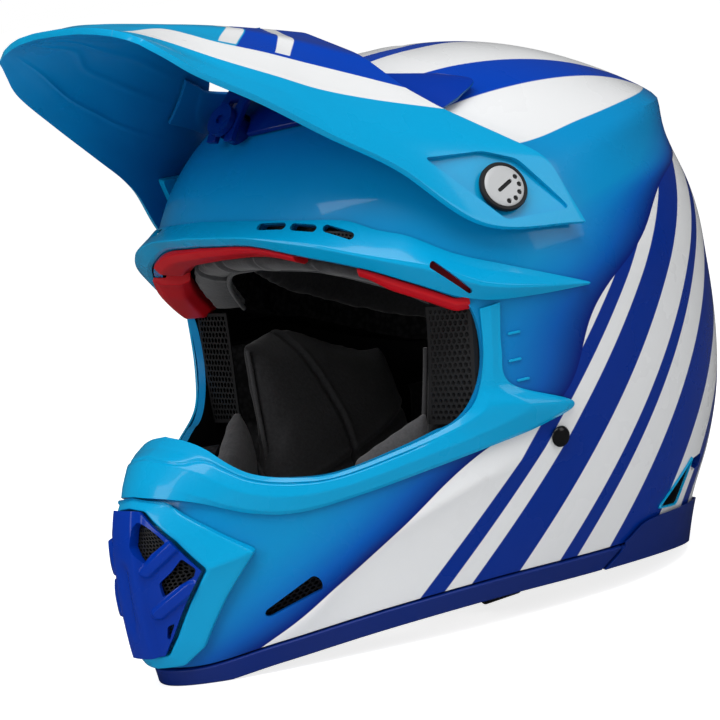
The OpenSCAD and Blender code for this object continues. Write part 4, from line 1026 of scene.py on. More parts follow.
# The post takes the visor underside's blue, which is painted shade.
dress(post, "visor_plastic", visor_underside_shade, body="visor")
print("visor faces:", len(visor.data.polygons))

# %% [markdown]
# The brow band is a separate moulding over the eyeport, with a flange that stands proud to hold a goggle
# strap clear, three air slots at each side and a winglet with a slanting slit at each end. Its section has
# five corners; a moving average along the section rounds them, as a mould would.

# %% Brow band
BAND_TO, BAND_WALL, BAND_FOLD, BROW_PROUD, TRIM_GAP = 84.0, 2.4, 0.13, 9.5, 0.7
BAND_TOP = [(0, 11), (15, 9.5), (28, 7), (38, 4), (44, -2), (50, -7), (58, -18), (67, -27)]
BAND_TOP += [(BAND_TO, -43.5)]
BAND_CREST = [(0, 2.5), (15, 1), (24, -2), (32, -6), (40, -12), (48, -18), (54, -23), (62, -33), (72, -39)]
BAND_CREST += [(BAND_TO, -44.2)]
BAND_BASE = [(0, 0), (15, -1.5), (25, -7), (40, -18), (50, -29), (57, -37.5), (63, -42), (72, -44)]
BAND_BASE += [(BAND_TO, -45)]


def rounded(controls, f, fold):
    """Rows between control rows: straight lines whose corners are rounded by a moving average."""
    last = len(controls) - 1

    def read(q):
        q = np.clip(q, 0, last)
        i = np.minimum(np.floor(q).astype(int), last - 1)
        return mix(controls[i], controls[i + 1], (q - i).reshape(-1, *[1] * (controls.ndim - 1)))

    return averaged(read, f, fold)


t = np.linspace(-BAND_TO, BAND_TO, 225)
a = np.abs(t)
top, crest, base = (EYE_TOP + curve(table, a) for table in (BAND_TOP, BAND_CREST, BAND_BASE))
proud = BROW_PROUD * mix(1, 0.3, ramp(a, 58, BAND_TO))
middle_off = mix(5, 2.6, ramp(a, 46, BAND_TO))
heights = np.stack([base, mix(crest, base, 0.25), crest, mix(crest, top, 0.55), top])
base_off, top_off = mix(3, 1.6, ramp(a, 50, BAND_TO)), np.full_like(t, TRIM_GAP + 0.9)
offs = np.stack([base_off, proud, proud, middle_off, top_off])
thick = np.array([BAND_WALL, BAND_WALL + 2, BAND_WALL + 2, BAND_WALL, BAND_WALL])[:, None]
f = np.linspace(0, 4, 61)
z_rows, out_rows = rounded(heights, f, BAND_FOLD), rounded(offs, f, BAND_FOLD)
in_rows = np.minimum(rounded(np.maximum(TRIM_GAP, offs - thick), f, BAND_FOLD), out_rows - 0.5)
band = slab("brow_flange", *two_skins(t, z_rows, out_rows, in_rows))
round_edges(band, 0.5)
combine(band, slot_cutters(BROW_SLOTS, BROW_SLOT_H) + slot_cutters([WING_SLIT], 3.2, -0.3))
dress(band, "shell_paint", sky_gloss, stands_for="brow_band", sharp=30)

# %% [markdown]
# The lip guard borders the lower eyeport from winglet to winglet. Thirteen rows of two points, at the
# opening's edge and at the guard's outline, carry a low crowned section round it. A shallow engraved line
# follows the edge, as on the moulding, and three short ribs stand beside each outer corner of the eyeport.

# %% Lip guard
LIP_ROWS = [
    [(EYE_ANGLE, EYE_CORNER_Z + 20), (65, EYE_CORNER_Z + 21)],
    [(EYE_ANGLE, EYE_CORNER_Z), (64.5, EYE_CORNER_Z)],
    [(60, 115), (66, 113)],
    [(58.5, 107), (78.5, 98)],
    [(56, 102), (72, 91)],
    [(LOW_BEND, EYE_DIP + 11), (61, EYE_DIP - 1)],
    [(45, EYE_DIP + 6), (50, EYE_DIP - 6)],
    [(34, EYE_DIP), (37.5, EYE_DIP - 12)],
    [(27, EYE_DIP + 1), (28, EYE_DIP - 15)],
    [(20, EYE_DIP + 6), (21, EYE_DIP - 12)],
    [(12, LIP_Z - 7), (13, EYE_DIP - 4)],
    [(6, LIP_Z - 2), (7, EYE_DIP - 0.8)],
    [(0, LIP_Z), (0, EYE_DIP + 0.4)],
]
LIP_PROUD = [(0, 3), (2, 3), (3, 7), (5, 5), (8, 5), (12, 6)]
LIP_EDGE_OFF, LIP_FOLD = TRIM_GAP + 1.1, 0.1
rows = np.array(LIP_ROWS, float)
half_run = np.linspace(0, 12, 120)
walk = np.concatenate([half_run, half_run[-2::-1]])
sign = np.concatenate([np.full(len(half_run), -1.0), np.full(len(half_run) - 1, 1.0)])
ends = [through(rows[:, k], walk).T for k in range(2)]
f = np.linspace(0, 4, 101)
front = ramp(walk, 9.4, 11.2)[None, :]
side_section = np.array([(1, 0), (0.9, 0.62), (0.5, 0.9), (0.12, 0.68), (0, 0)])
front_section = np.array([(1, 0.62), (0.8, 1), (0.4, 1), (0.2, 0.5), (0, 0)])
share_rows, swell_rows = (mix(side_section[:, m, None], front_section[:, m, None], front) for m in range(2))
shares = rounded(share_rows, f, LIP_FOLD)
edge_rows = np.array([1, 0, 0, 0, 1])[:, None] * LIP_EDGE_OFF
swell = rounded(curve(LIP_PROUD, walk)[None, :] * swell_rows + edge_rows, f, LIP_FOLD)
off = np.maximum(swell, LIP_EDGE_OFF)
seam = curve([(0, 0.18), (9.8, 0.18), (10.8, 0.4), (12, 0.4)], walk)[None, :]
groove = 0.8 * np.exp(-(((shares - seam) / 0.025) ** 2)) * ramp(walk, 5.2, 6.0)[None, :]
t_rows, z_rows = (mix(ends[0][m], ends[1][m], shares) for m in range(2))
lip = slab("lip_surround", *two_skins(sign * t_rows, z_rows, off - groove, TRIM_GAP))
round_edges(lip, 0.45)
dress(lip, "shell_paint", sky_gloss, stands_for="lip_guard", sharp=30)

RIB_SPOTS = [(67.4, 135.8), (67.2, 123.3), (68.6, 113.5)]
short_ribs = [prism("eyeport_ribs", oblong(6.5, 1.3), *seat(*spot), 0.05, 0.9) for spot in RIB_SPOTS]
eye_ribs = combine(short_ribs[0], short_ribs[1:], "UNION")
round_edges(eye_ribs, 0.3)
dress_both(eye_ribs, "shell_paint", sky_gloss, sharp=40)

# %% [markdown]
# The chin vent: a raised frame round a pointed opening, and a glossy dark grille with a central ridge and
# six windows. The frame's section runs round two matching outlines; the grille is a crowned plate with its
# windows cut through.

# %% Chin frame and grille
FRAME_PROUD = 6.0
FRAME_STEPS, FRAME_CORNER, FRAME_FOLD = 16, 0.07, 0.15
FRAME_OUTER = [(0, -41), (13, -40), (21, -33), (31, -11), (41, 8), (28, 22), (15, 34), (0, 36)]
FRAME_INNER = [(0, -34), (9, -33), (13.5, -25), (20, -10), (26, 3), (18, 17.5), (7, 30.5), (0, 31.5)]


def front_pt(x, z, off):
    """Point ahead of a place given by its distance from the middle plane and its height."""
    return on_shell(np.degrees(np.arcsin(x / curve(HALF_W, np.minimum(z, BELT_Z)))), z, off)


FRAME_LOOPS = (both_ways(FRAME_OUTER), both_ways(FRAME_INNER))
outer_loop, inner_loop = (round_loop(loop, FRAME_STEPS, FRAME_CORNER) for loop in FRAME_LOOPS)
f = np.linspace(0, 3, 49)
shares = rounded(np.array([0, 0.06, 0.94, 1.0]), f, FRAME_FOLD)[:, None]
corner = np.arange(len(outer_loop)) / FRAME_STEPS
crest = 2.0 * np.exp(-np.minimum(np.abs(corner - 4), np.abs(corner - 10)) / 0.5)
outer_off = mix(TRIM_GAP + 1, FRAME_PROUD + 0.3, ramp(outer_loop[:, 1], 29, 33))
inner_off = np.full_like(crest, TRIM_GAP + 1.5)
off_rows = np.stack([outer_off, FRAME_PROUD - 1 + crest, FRAME_PROUD + 1.2 + crest, inner_off])
ring = [mix(outer_loop[:, m], inner_loop[:, m], shares) for m in range(2)]
frame_offs = (rounded(off_rows, f, FRAME_FOLD), TRIM_GAP)
skins = [front_pt(ring[0], CHIN_VENT_Z + ring[1], off) for off in frame_offs]
chin_frame = slab("chin_frame", *skins, wrap=True)
dress(chin_frame, "shell_paint", sky_gloss, stands_for="chin_vent_frame", sharp=40)

GRILLE_TOP, GRILLE_T = 8.5, 3.0
WINDOWS = [
    [(6.0, 26.6), (10.4, 23.6), (15.4, 17.6), (7.0, 9.2), (3.8, 16.5), (4.8, 24.2)],
    [(19.8, 9.8), (23.6, 4.4), (22.7, 0.9), (12.2, -6.5), (11.6, -0.2)],
    [(14.2, -18.6), (13.6, -20.4), (11.4, -26.0), (10.6, -25.0), (11.6, -19.8)],
]
RIBS = [((8.0, 5.5), (17.5, 15.5)), ((9.8, -13.5), (21.5, -3.2))]


def away_from(x, z, start, end):
    """Distance of points from a line between two ends: the perpendicular's foot is kept between them."""
    run = np.subtract(end, start)
    s = np.clip(((x - start[0]) * run[0] + (z - start[1]) * run[1]) / (run @ run), 0, 1)
    return np.hypot(x - start[0] - s * run[0], z - start[1] - s * run[1])


def window_cutter(outline):
    """Solid that cuts a window square to the surface: the outline at two distances, joined."""
    flat = softened(np.array(outline, float), 0.9)
    ends = [front_pt(flat[:, 0], CHIN_VENT_Z + flat[:, 1], off) for off in (-2.0, 20.0)]
    return outward(bridge("window", ends))


inner_rows = np.array(FRAME_INNER, float)
z_grid = np.linspace(-33, 30.5, 100)[:, None]
a_grid = np.linspace(-1, 1, 111)[None, :]
half_w = np.interp(z_grid[:, 0], inner_rows[:, 1], np.maximum(inner_rows[:, 0] - 0.9, 5))[:, None]
x_grid, z_grid = np.broadcast_arrays(a_grid * half_w, z_grid)
hollow = np.exp(-((x_grid / 1.8) ** 2)) * ramp(z_grid, -26, -14) * ramp(z_grid, 12, 4)
ridge = 3.0 * ramp(np.abs(x_grid), 7.2, 4.2) - 2.0 * hollow
for rib_ends in RIBS:
    ridge = np.maximum(ridge, 2.0 * ramp(away_from(np.abs(x_grid), z_grid, *rib_ends), 3.0, 1.7))
grille_offs = (GRILLE_TOP + ridge, GRILLE_TOP - GRILLE_T)
skins = [front_pt(x_grid, CHIN_VENT_Z + z_grid, off) for off in grille_offs]
grille = slab("chin_grille_bars", *skins)
round_edges(grille, 0.6)
cutters = []
for window in WINDOWS:
    cutters += in_pairs(window_cutter(window))
combine(grille, cutters)
dress(grille, "blue_plastic", royal_gloss, stands_for="chin_grille", sharp=35)
print("grille faces:", len(grille.data.polygons))

# %% [markdown]
# Soft edge trims close the shell's rim, and the helmet stands on them. They meet at a slanting seam at each
# side, and the rear one is taller and wraps up over the nape. A dark hood covers the forehead intake, under
# the visor, and two ducts lead air out behind it.

# %% Trims, hood and ducts
TRIM_H, TRIM_PROUD, TRIM_IN, REAR_TRIM_H = 9.0, 1.4, -SHELL_T - 1.4, 20.0
SEAM_LOW, SEAM_HIGH = 85.7, 90.7
WRAP_H = [(85, 0.6), (91, 0.8), (98, 8), (112, 10)]
WRAP_H += [(130, REAR_TRIM_H - TRIM_H), (180, REAR_TRIM_H - TRIM_H)]
f = np.linspace(0, 1, 9)[:, None]
t = np.linspace(-1, 1, 160)[None, :] * mix(SEAM_LOW, SEAM_HIGH, f)
z_rows = mix(np.maximum(rim_at(t) - TRIM_H - 1, 0), rim_at(t) - 1, f)
edge_trim = slab("lower_trim", *two_skins(t, z_rows, TRIM_PROUD, TRIM_IN))
round_edges(edge_trim, 1.1)
dress(edge_trim, "rubber_trim", trim_rubber, stands_for="edge_trim", sharp=40)

f = np.concatenate([np.linspace(0, 1, 8), np.linspace(2, 3, 16)])[:, None]
t = 180 + np.linspace(-1, 1, 130)[None, :] * (179.4 - mix(SEAM_LOW, SEAM_HIGH, np.minimum(f, 1)))
signed = np.where(t > 180, t - 360, t)
rim = rim_at(signed)
wrap_top = rim + curve(WRAP_H, np.abs(signed))
under_rim = mix(np.maximum(rim - TRIM_H - 1, 0), rim - 1, f)
heights = np.where(f < 1.5, under_rim, mix(rim - 0.9, wrap_top, f - 2))
low_heights = np.where(f < 1.5, under_rim, mix(rim - 1, wrap_top, f - 2))
inside = np.where(f < 1.5, TRIM_IN, 2 * TRIM_GAP)
wrap_skins = on_shell(signed, heights, TRIM_PROUD + 0.5), on_shell(signed, low_heights, inside)
rear_trim = slab("nape_trim", *wrap_skins)
round_edges(rear_trim, 0.9)
dress(rear_trim, "rubber_trim", trim_rubber, stands_for="rear_edge_trim", sharp=40)

SCOOP_LOW, SCOOP_TOP, SCOOP_H = SHELL_H - 29, SHELL_H - 13, 3.6
t = np.linspace(-34, 34, 90)
f = np.linspace(0, 1, 36)[:, None]
z_rows = mix(SCOOP_LOW + np.abs(t) * 0.12, SCOOP_TOP, f)
swell = TRIM_GAP + 1 + SCOOP_H * np.sin(np.pi * np.minimum(0.9, 0.15 + 0.75 * f)) * (1 - (t / 36) ** 4)
hood = slab("intake_hood", *two_skins(t, z_rows, swell, TRIM_GAP))
round_edges(hood, 0.5)
combine(hood, [prism("bore", circle(9), PIVOT, TONGUE_N, TONGUE_R - 37, TONGUE_R + 23)])
dress(hood, "blue_plastic", navy_gloss, stands_for="crown_scoop", sharp=35)

DUCT_T, DUCT_DROP = 1.8, VISOR_T + 0.8
DUCT_LANES = [2.85, 2.1, 1.35]
DUCT_REAR = np.array([(84, -8, 43), (80, -23, 49.5), (66, -14, 55)], float)
s_probe = np.array([5.9, 6.0, 6.4, 6.5, 6.9, 7.0])
lane_columns = np.array(DUCT_LANES)
lane_probe = np.stack([lane_columns - 0.1, lane_columns, lane_columns + 0.1], -1).ravel()
near_grid = visor_pt(s_probe, lane_probe)
near_n = grid_n(near_grid)
near_n *= np.sign(near_n[..., 2:])
sunk = (near_grid - DUCT_DROP * near_n)[1::2, 1::3]
controls = np.concatenate([sunk, from_pivot(DUCT_REAR)[None]])
fine_s, fine_l = np.linspace(0, 3, 36), np.linspace(0, 2, 24)
along = np.stack([through(controls[:, k], fine_s) for k in range(len(DUCT_LANES))])
duct_top = np.stack([through(along[:, i], fine_l) for i in range(len(fine_s))], 1)
duct_n = grid_n(duct_top)
duct_n *= np.sign(duct_n[..., 2:])
# The duct's lower faces take the visor underside's blue, which is painted shade.
duct = slab("visor_duct", duct_top, duct_top - DUCT_T * duct_n, under=1)
top_faces = (duct_top.shape[0] - 1) * (duct_top.shape[1] - 1)
below_top = np.arange(len(duct.data.polygons)) >= top_faces
duct.data.polygons.foreach_set("material_index", below_top.astype(np.int32))
outward(duct)
round_edges(duct, 0.5)
dress_both(duct, "blue_plastic", royal_gloss, visor_underside_shade, body="visor", nodes=sided("visor_duct_"), sharp=40)

# %% [markdown]
# Screws and rivets are turned parts: a profile of radius and height, spun about the axis. The visor screws
# have a wide pale disc with a dark rim, a coin slot and a row of dents.

# %% Screws and rivets


def spun(name, profile, spot, normal, sides=64):
    """Solid of revolution: rows of (radius, height) from the bottom up, about the normal at spot."""
    normal = unit(np.asarray(normal, float))
    level = unit(np.cross([0, 0, 1.0], normal))
    rise = np.cross(normal, level)
    rows = np.asarray(profile, float)
    a = np.linspace(0, 2 * np.pi, sides, endpoint=False)[None, :, None]
    radius, height = rows[:, :1, None], rows[:, 1:, None]
    ring = np.asarray(spot) + radius * (np.cos(a) * level + np.sin(a) * rise) + height * normal
    n = len(rows) * sides
    points = np.concatenate([ring.reshape(-1, 3), ring[:1].mean(1), ring[-1:].mean(1)])
    j = np.arange(sides)
    k = (j + 1) % sides
    low = np.stack([k, j, np.full(sides, n)], -1)
    top = (len(rows) - 1) * sides
    high = np.stack([top + j, top + k, np.full(sides, n + 1)], -1)
    return make(name, points, [grid_faces(len(rows), sides, True), low, high])


disc_white, tree, shader = new_material("disc_white", 0.38, (0.47, 0.48, 0.49))
peel(tree, shader, object_place(tree), 900.0, 0.02, 0.32, 0.45)
HEAD_R, HEAD_T, HEAD_GAP = 12.0, 3.5, 0.8
HEAD_TOP = HEAD_GAP + HEAD_T
rim_profile = [(3, -6), (3, HEAD_GAP), (HEAD_R - 0.8, HEAD_GAP), (HEAD_R, HEAD_GAP + 0.8)]
rim_profile += [(HEAD_R, HEAD_TOP - 1.2), (HEAD_R - 0.5, HEAD_TOP - 0.6)]
rim_profile += [(HEAD_R - 1.6, HEAD_TOP - 0.5), (HEAD_R - 1.7, HEAD_TOP - 0.9)]
face_profile = [(HEAD_R - 2.0, HEAD_TOP - 1.6), (HEAD_R - 2.0, HEAD_TOP - 0.7)]
face_profile += [(HEAD_R - 2.4, HEAD_TOP - 0.35), (HEAD_R - 4.5, HEAD_TOP - 0.1), (2.0, HEAD_TOP)]
head = spun("screw_rim", rim_profile, ARM_SPOT, ARM_N)
face = spun("screw_disc", face_profile, ARM_SPOT, ARM_N)
dents = [prism("coin", oblong(9.5, 1.9, 25), ARM_SPOT, ARM_N, HEAD_TOP - 1.1, HEAD_TOP + 3)]
across = unit(np.cross([0, 0, 1.0], ARM_N))
for turn_at in np.radians([-95, -65, -35, -5, 25]):
    dent = ARM_SPOT + 7.6 * (math.cos(turn_at) * across + math.sin(turn_at) * np.cross(ARM_N, across))
    dents.append(prism("dent", circle(1.3, 20), dent, ARM_N, HEAD_TOP - 1.2, HEAD_TOP + 3))
combine(face, dents)
for solid, finish in ((head, black_plastic), (face, disc_white)):
    twin = mirrored(solid, solid.name + ".right")
    for piece, screw in zip((solid, twin), sided("visor_screw_")):
        stood = screw if solid is head else None
        dress(piece, "screw_plastic", finish, body=screw, stands_for=stood, sharp=40)

rivet_profile = [(2.5, -7.7), (2.5, 0.5), (4.6, 0.5), (5, 0.9), (4.7, 1.4)]
rivet_profile += [(4.0, 1.9), (2.8, 2.3), (1.6, 2.5), (0.5, 2.6)]
rivet = spun("strap_rivet", rivet_profile, *seat(RIVET_T, RIVET_HEIGHT), 40)
black_gloss = painted("black_gloss", (0.006, 0.006, 0.007, 1))
dress_both(rivet, "rivet_black", black_gloss, nodes=("strap_rivets", None), sharp=40)

# %% [markdown]
# Air openings and the sides of the eyeport are closed by honeycomb sheets. A bump would look flat, so the
# holes are real: each cell is a ring between two six-sided loops. The sheet is laid out flat in millimetres
# and then bent by a function onto its place.

# %% Honeycomb sheets


def ring_faces(sides):
    """Quads of a ring of four loops: outer top, inner top, inner bottom and outer bottom."""
    k = np.arange(sides)
    k_next = (k + 1) % sides
    starts = [(a * sides, b * sides) for a, b in ((0, 1), (1, 2), (2, 3), (3, 0))]
    return np.concatenate([np.stack([a + k, a + k_next, b + k_next, b + k], -1) for a, b in starts])


def four_loops(outer, inner, thick):
    """The four loops of a flat ring: rows of (across, up, depth)."""
    flat = np.stack([outer, inner, inner, outer], -3)
    depth = np.broadcast_to(np.array([0, 0, thick, thick])[:, None, None], flat[..., :1].shape)
    return np.concatenate([flat, depth], -1)


def honeycomb(name, place, wide, tall, cell, bar, thick, stretch=1.0, border=1.5):
    """Sheet of six-sided cells inside a border, bent by place(across, up, depth); cells are cell apart."""
    pitch = cell * math.sqrt(3) / 2 * stretch
    j, i = np.meshgrid(np.arange(-60, 61), np.arange(-60, 61))
    centres = np.stack([(j + 0.5 * (i % 2)) * cell, i * pitch], -1).reshape(-1, 2)
    room = np.array([wide, tall]) / 2 - border
    centres = centres[(np.abs(centres) < room + 0.15 * cell).all(1)]
    corner = np.radians(30 + 60 * np.arange(6))
    hexagon = np.stack([np.cos(corner), np.sin(corner) * stretch], -1) / math.sqrt(3)
    outer = np.clip(centres[:, None] + hexagon * cell, -room - 0.3, room + 0.3)
    inner = np.clip(centres[:, None] + hexagon * (cell - bar), -room + 0.1, room - 0.1)
    cells = four_loops(outer, inner, thick)
    f = np.linspace(0, 4, 80, endpoint=False)
    waves = [np.abs((f + shift) % 4 - 2) * 2 - 2 for shift in (0.5, -0.5)]
    side = np.clip(np.stack(waves, -1), -1, 1)
    rim = four_loops(side * np.array([wide, tall]) / 2, side * room, thick)
    flat = np.concatenate([cells.reshape(-1, 3), rim.reshape(-1, 3)])
    count = len(centres)
    faces = (ring_faces(6)[None] + 24 * np.arange(count)[:, None, None]).reshape(-1, 4)
    faces = np.concatenate([faces, 24 * count + ring_faces(len(f))])
    return outward(make(name, place(flat[:, 0], flat[:, 1], flat[:, 2]), faces))


MESH_OFF, MESH_CELL, MESH_BAR, MESH_T = -SHELL_T - 1.6, 1.9, 0.55, 1.2
EYE_MESH_LOW, EYE_MESH_TOP, EYE_MESH_IN, EYE_MESH_OUT = 96.0, 152.0, -28.0, -5.2


def beside_eye(u, v, w):
    """Between the eyeport's rim and the cheek pad: across is depth behind the shell, depth is the angle."""
    share = u / (EYE_MESH_OUT - EYE_MESH_IN) + 0.5
    turn = mix(52.5, 60, share) + 0.9 * w
    return on_shell(turn, (EYE_MESH_LOW + EYE_MESH_TOP) / 2 + v, mix(EYE_MESH_IN, EYE_MESH_OUT, share))


def behind_chin(u, v, w):
    """Behind the chin vent, narrowed to its outline."""
    lap = 3.0
    rows = VENT_HALF * [CHIN_VENT_H, CHIN_VENT_H + lap] + [2 * lap, 0]
    wide = np.interp(v, rows[:, 1], rows[:, 0])
    return front_pt(u / rows[:, 0].max() * wide, CHIN_VENT_Z + v, MESH_OFF - w)


def behind_grille(u, v, w):
    """Close behind the chin grille, narrowed to the frame's inner outline."""
    wide = np.interp(v, inner_rows[:, 1], np.maximum(inner_rows[:, 0] - 1.5, 4))
    return front_pt(u / 25 * wide, CHIN_VENT_Z + v, 4.9 - w)


def behind_jaw(u, v, w):
    """Behind the jaw slot, along its slope."""
    turn = u / 1.9
    return on_shell(JAW_SLOT_T + 0.25 + turn, JAW_SLOT_Z + turn * 0.75 + v, MESH_OFF - w)


def behind_rear(u, v, w):
    """Behind the rear slot and the gill beside it."""
    return on_shell(115 + u / 2.1, 40 + v, MESH_OFF - w)


def behind_brow(u, v, w):
    """In the brow band's channel, behind its slots."""
    turn = 29.5 + u / 2.4
    low, high = EYE_TOP + curve(BAND_CREST, turn) + 3.4, EYE_TOP + curve(BAND_TOP, turn) - 5.2
    return on_shell(turn, mix(low, high, v / 6 + 0.5), TRIM_GAP + 1.1 - w)


mesh_black = moulded("mesh_black", (0.016, 0.016, 0.017, 1), 0.45)
eye_mesh = honeycomb("eye_mesh_panel", beside_eye, EYE_MESH_OUT - EYE_MESH_IN, 56, 2.5, 0.75, 1.0, 1.3)
jaw_mesh = honeycomb("jaw_slot_mesh", behind_jaw, 35, 13, MESH_CELL, MESH_BAR, MESH_T)
rear_mesh = honeycomb("rear_slot_mesh", behind_rear, 50, 29, MESH_CELL, MESH_BAR, MESH_T)
brow_mesh = honeycomb("brow_slot_mesh", behind_brow, 55, 6, MESH_CELL, 0.6, 1.0, 1.0, 0.8)
chin_mesh = honeycomb("chin_vent_mesh_sheet", behind_chin, 58.8, 58, MESH_CELL, MESH_BAR, MESH_T)
grille_mesh = honeycomb("grille_mesh", behind_grille, 50, 62, MESH_CELL, 0.6, 0.8)
dress(chin_mesh, "black_mesh", mesh_black, stands_for="chin_vent_mesh")
dress(grille_mesh, "black_mesh", mesh_black)
for sheet, stem in ((eye_mesh, "eye_mesh_"), (jaw_mesh, "jaw_vent_mesh_"), (rear_mesh, "rear_vent_mesh_")):
    dress_both(sheet, "black_mesh", mesh_black, nodes=sided(stem))
dress_both(brow_mesh, "black_mesh", mesh_black, nodes=("brow_vent_mesh", None))
print("chin mesh faces:", len(chin_mesh.data.polygons))

# %% [markdown]
# Fabrics. The pads have a brushed knit: two crossed waves of loops about a millimetre wide, fuzz on top and a
# soft sheen at grazing angles. The pattern reads Object coordinates, because a remeshed pad has no UV map.
# Webbing has wider, slanted ribs, and the foam is a froth of small beads.

# %% Fabric and foam
knit_tree, given, out = new_group(
    "knit", {"Place": "Vector", "Pitch": "Float", "Loops": "Float"}, {"Height": "Float", "Fuzz": "Float"}
)
spread_out = node(knit_tree, "VectorMath", {0: given.outputs["Place"]}, operation="SCALE")
knit_tree.links.new(given.outputs["Pitch"], spread_out.inputs["Scale"])
axes_of = node(knit_tree, "SeparateXYZ", {0: spread_out.outputs[0]}).outputs
waves = [calc(knit_tree, "SINE", calc(knit_tree, "ADD", axes_of[2], axes_of[m])) for m in (0, 1)]
loops = calc(knit_tree, "MULTIPLY", calc(knit_tree, "ADD", waves[0], waves[1]), given.outputs["Loops"])
fuzz = node(knit_tree, "TexNoise", {"Vector": given.outputs["Place"], "Scale": 700.0, "Detail": 5.0})
knit_tree.links.new(calc(knit_tree, "ADD", loops, fuzz.outputs["Fac"]), out.inputs["Height"])
knit_tree.links.new(fuzz.outputs["Fac"], out.inputs["Fuzz"])
BRUSHED = {"Specular_IOR_Level": 0.15, "Sheen_Weight": 0.25, "Sheen_Roughness": 0.5}


def knitted(name, dark, light, pitch, depth, loops):
    """Knit fabric: loops and fuzz as bump, fuzz as a change of colour, and sheen."""
    material, tree, shader = new_material(name, 0.85, **BRUSHED)
    group = use_group(tree, knit_tree, object_place(tree))
    group.inputs["Pitch"].default_value = 2 * math.pi / (pitch * MM)
    group.inputs["Loops"].default_value = loops
    tree.links.new(tint(tree, group.outputs["Fuzz"], dark, light), shader.inputs["Base Color"])
    raise_bump(tree, shader, group.outputs["Height"], depth, 0.6)
    return material


pad_knit = knitted("pad_knit", (0.020, 0.020, 0.021, 1), (0.060, 0.060, 0.064, 1), 1.0, 0.3, 0.03)
grey_knit = knitted("grey_knit", (0.050, 0.050, 0.053, 1), (0.110, 0.110, 0.115, 1), 1.2, 0.4, 0.08)
piping_cord = knitted("piping_cord", (0.035, 0.035, 0.037, 1), (0.080, 0.080, 0.084, 1), 0.9, 0.15, 0.3)
strap_web = knitted("strap_web", (0.006, 0.006, 0.006, 1), (0.020, 0.020, 0.021, 1), 2.2, 0.4, 0.5)
red_web = knitted("red_web", (0.300, 0.004, 0.006, 1), (0.480, 0.010, 0.012, 1), 2.0, 0.35, 0.5)


def beaded(name, dark, light, rough):
    """Expanded foam: round beads from a cell texture, dark in the joints between them."""
    material, tree, shader = new_material(name, rough, Specular_IOR_Level=0.25)
    cells = node(tree, "TexVoronoi", {"Vector": object_place(tree), "Scale": 330.0})
    share = step(tree, cells.outputs["Distance"], 0.2, 0.65)
    tree.links.new(tint(tree, share, light, dark), shader.inputs["Base Color"])
    raise_bump(tree, shader, cells.outputs["Distance"], -0.3, 0.5)
    return material


black_foam = beaded("black_foam", (0.006, 0.006, 0.007, 1), (0.022, 0.022, 0.024, 1), 0.7)
red_foam = moulded("red_foam", (0.560, 0.003, 0.010, 1), 0.42)

# %% [markdown]
# Stuffed pads are foam under cloth. Each starts a little thin, is remeshed to even squares, and is blown up
# for twenty frames as cloth under pressure, with no point moving further than a cap. A light smoothing takes
# out small waves. Sewn lines come last: every point near a line moves in along its normal, and a narrow bead
# beside the line stands for the piping.

# %% Pads
CLOTH_FRAMES, PRESSURE = 20, 4.0


def soften(pad, times):
    """Adds a smoothing: each point goes halfway to the middle of its neighbours, so many times."""
    change = pad.modifiers.new("soften", "SMOOTH")
    change.factor = 0.5
    change.iterations = times


def cushion(name, top, bottom, cap, voxel=5.0, fine=2, wrap=False):
    """Pad between two skins: remeshed, swollen as cloth up to the cap in millimetres, then smoothed."""
    pad = outward(slab(name, top, bottom, wrap))
    even = pad.modifiers.new("even", "REMESH")
    even.mode = "VOXEL"
    even.voxel_size = voxel * MM
    soften(pad, 8)
    bake(pad)
    before = points_of(pad)
    cloth = pad.modifiers.new("cloth", "CLOTH")
    cloth.settings.use_pressure = True
    cloth.settings.uniform_pressure_force = PRESSURE
    cloth.settings.effector_weights.gravity = 0
    cloth.point_cache.frame_end = CLOTH_FRAMES
    for number in range(1, CLOTH_FRAMES + 1):
        scene.frame_set(number)
    bake(pad)
    scene.frame_set(1)
    moved = points_of(pad) - before
    far = np.maximum(np.linalg.norm(moved, axis=1, keepdims=True), 1e-6)
    set_points(pad, before + moved * np.minimum(1, cap / far))
    soften(pad, 5)
    smooth = pad.modifiers.new("smooth", "SUBSURF")
    smooth.levels = smooth.render_levels = fine
    return bake(pad)


def sew(pad, lines, depth=1.6, width=2.0, bead=0.7):
    """Presses lines into a pad; lines(points) gives each point's signed distance from each line."""
    points = points_of(pad)
    normals = np.empty(points.size)
    pad.data.vertex_normals.foreach_get("vector", normals)
    for distance in lines(points):
        beside = bead * np.exp(-(((distance - 1.7 * width) / width) ** 2))
        push = beside - depth * np.exp(-((distance / width) ** 2))
        points = points + push[:, None] * normals.reshape(-1, 3)
    set_points(pad, points)
    return pad


def polar(points):
    """Angle about the crown axis in degrees, 0 at the face, without sign."""
    return np.degrees(np.arctan2(np.abs(points[:, 0]), AXIS_Y - points[:, 1]))


def finish_pad(pad, fabric, stands_for=None):
    dress(pad, "pad_fabric", fabric, stands_for=stands_for, sharp=80)


CHEEK_FROM, CHEEK_TO, CHEEK_PUFF = 52, 106, 27.0
t = np.linspace(CHEEK_FROM, CHEEK_TO, 40)
f = np.linspace(0, 1, 36)[:, None]
z_rows = mix(25.0, 139 - 26 * ramp(t, 66, 104), f)
arch = np.sqrt(np.sin(np.pi * (t - CHEEK_FROM) / (CHEEK_TO - CHEEK_FROM)).clip(0))
puff = CHEEK_PUFF * (arch * np.sin(np.pi * np.clip(f, 0.02, 0.98)) ** 0.55) * mix(1.1, 0.75, f)
cheek = cushion("cheek_cushion", *two_skins(t, z_rows, -32.6, -36.4 - puff), 2.0, voxel=3.6)
sew(cheek, lambda p: [(polar(p) - 60) * 1.4, p[:, 2] - 58 - 0.25 * (p[:, 1] + 40)], depth=1.2)
cheek_right = mirrored(cheek, "cheek_cushion.right")
finish_pad(cheek, pad_knit, "cheek_pad_left")
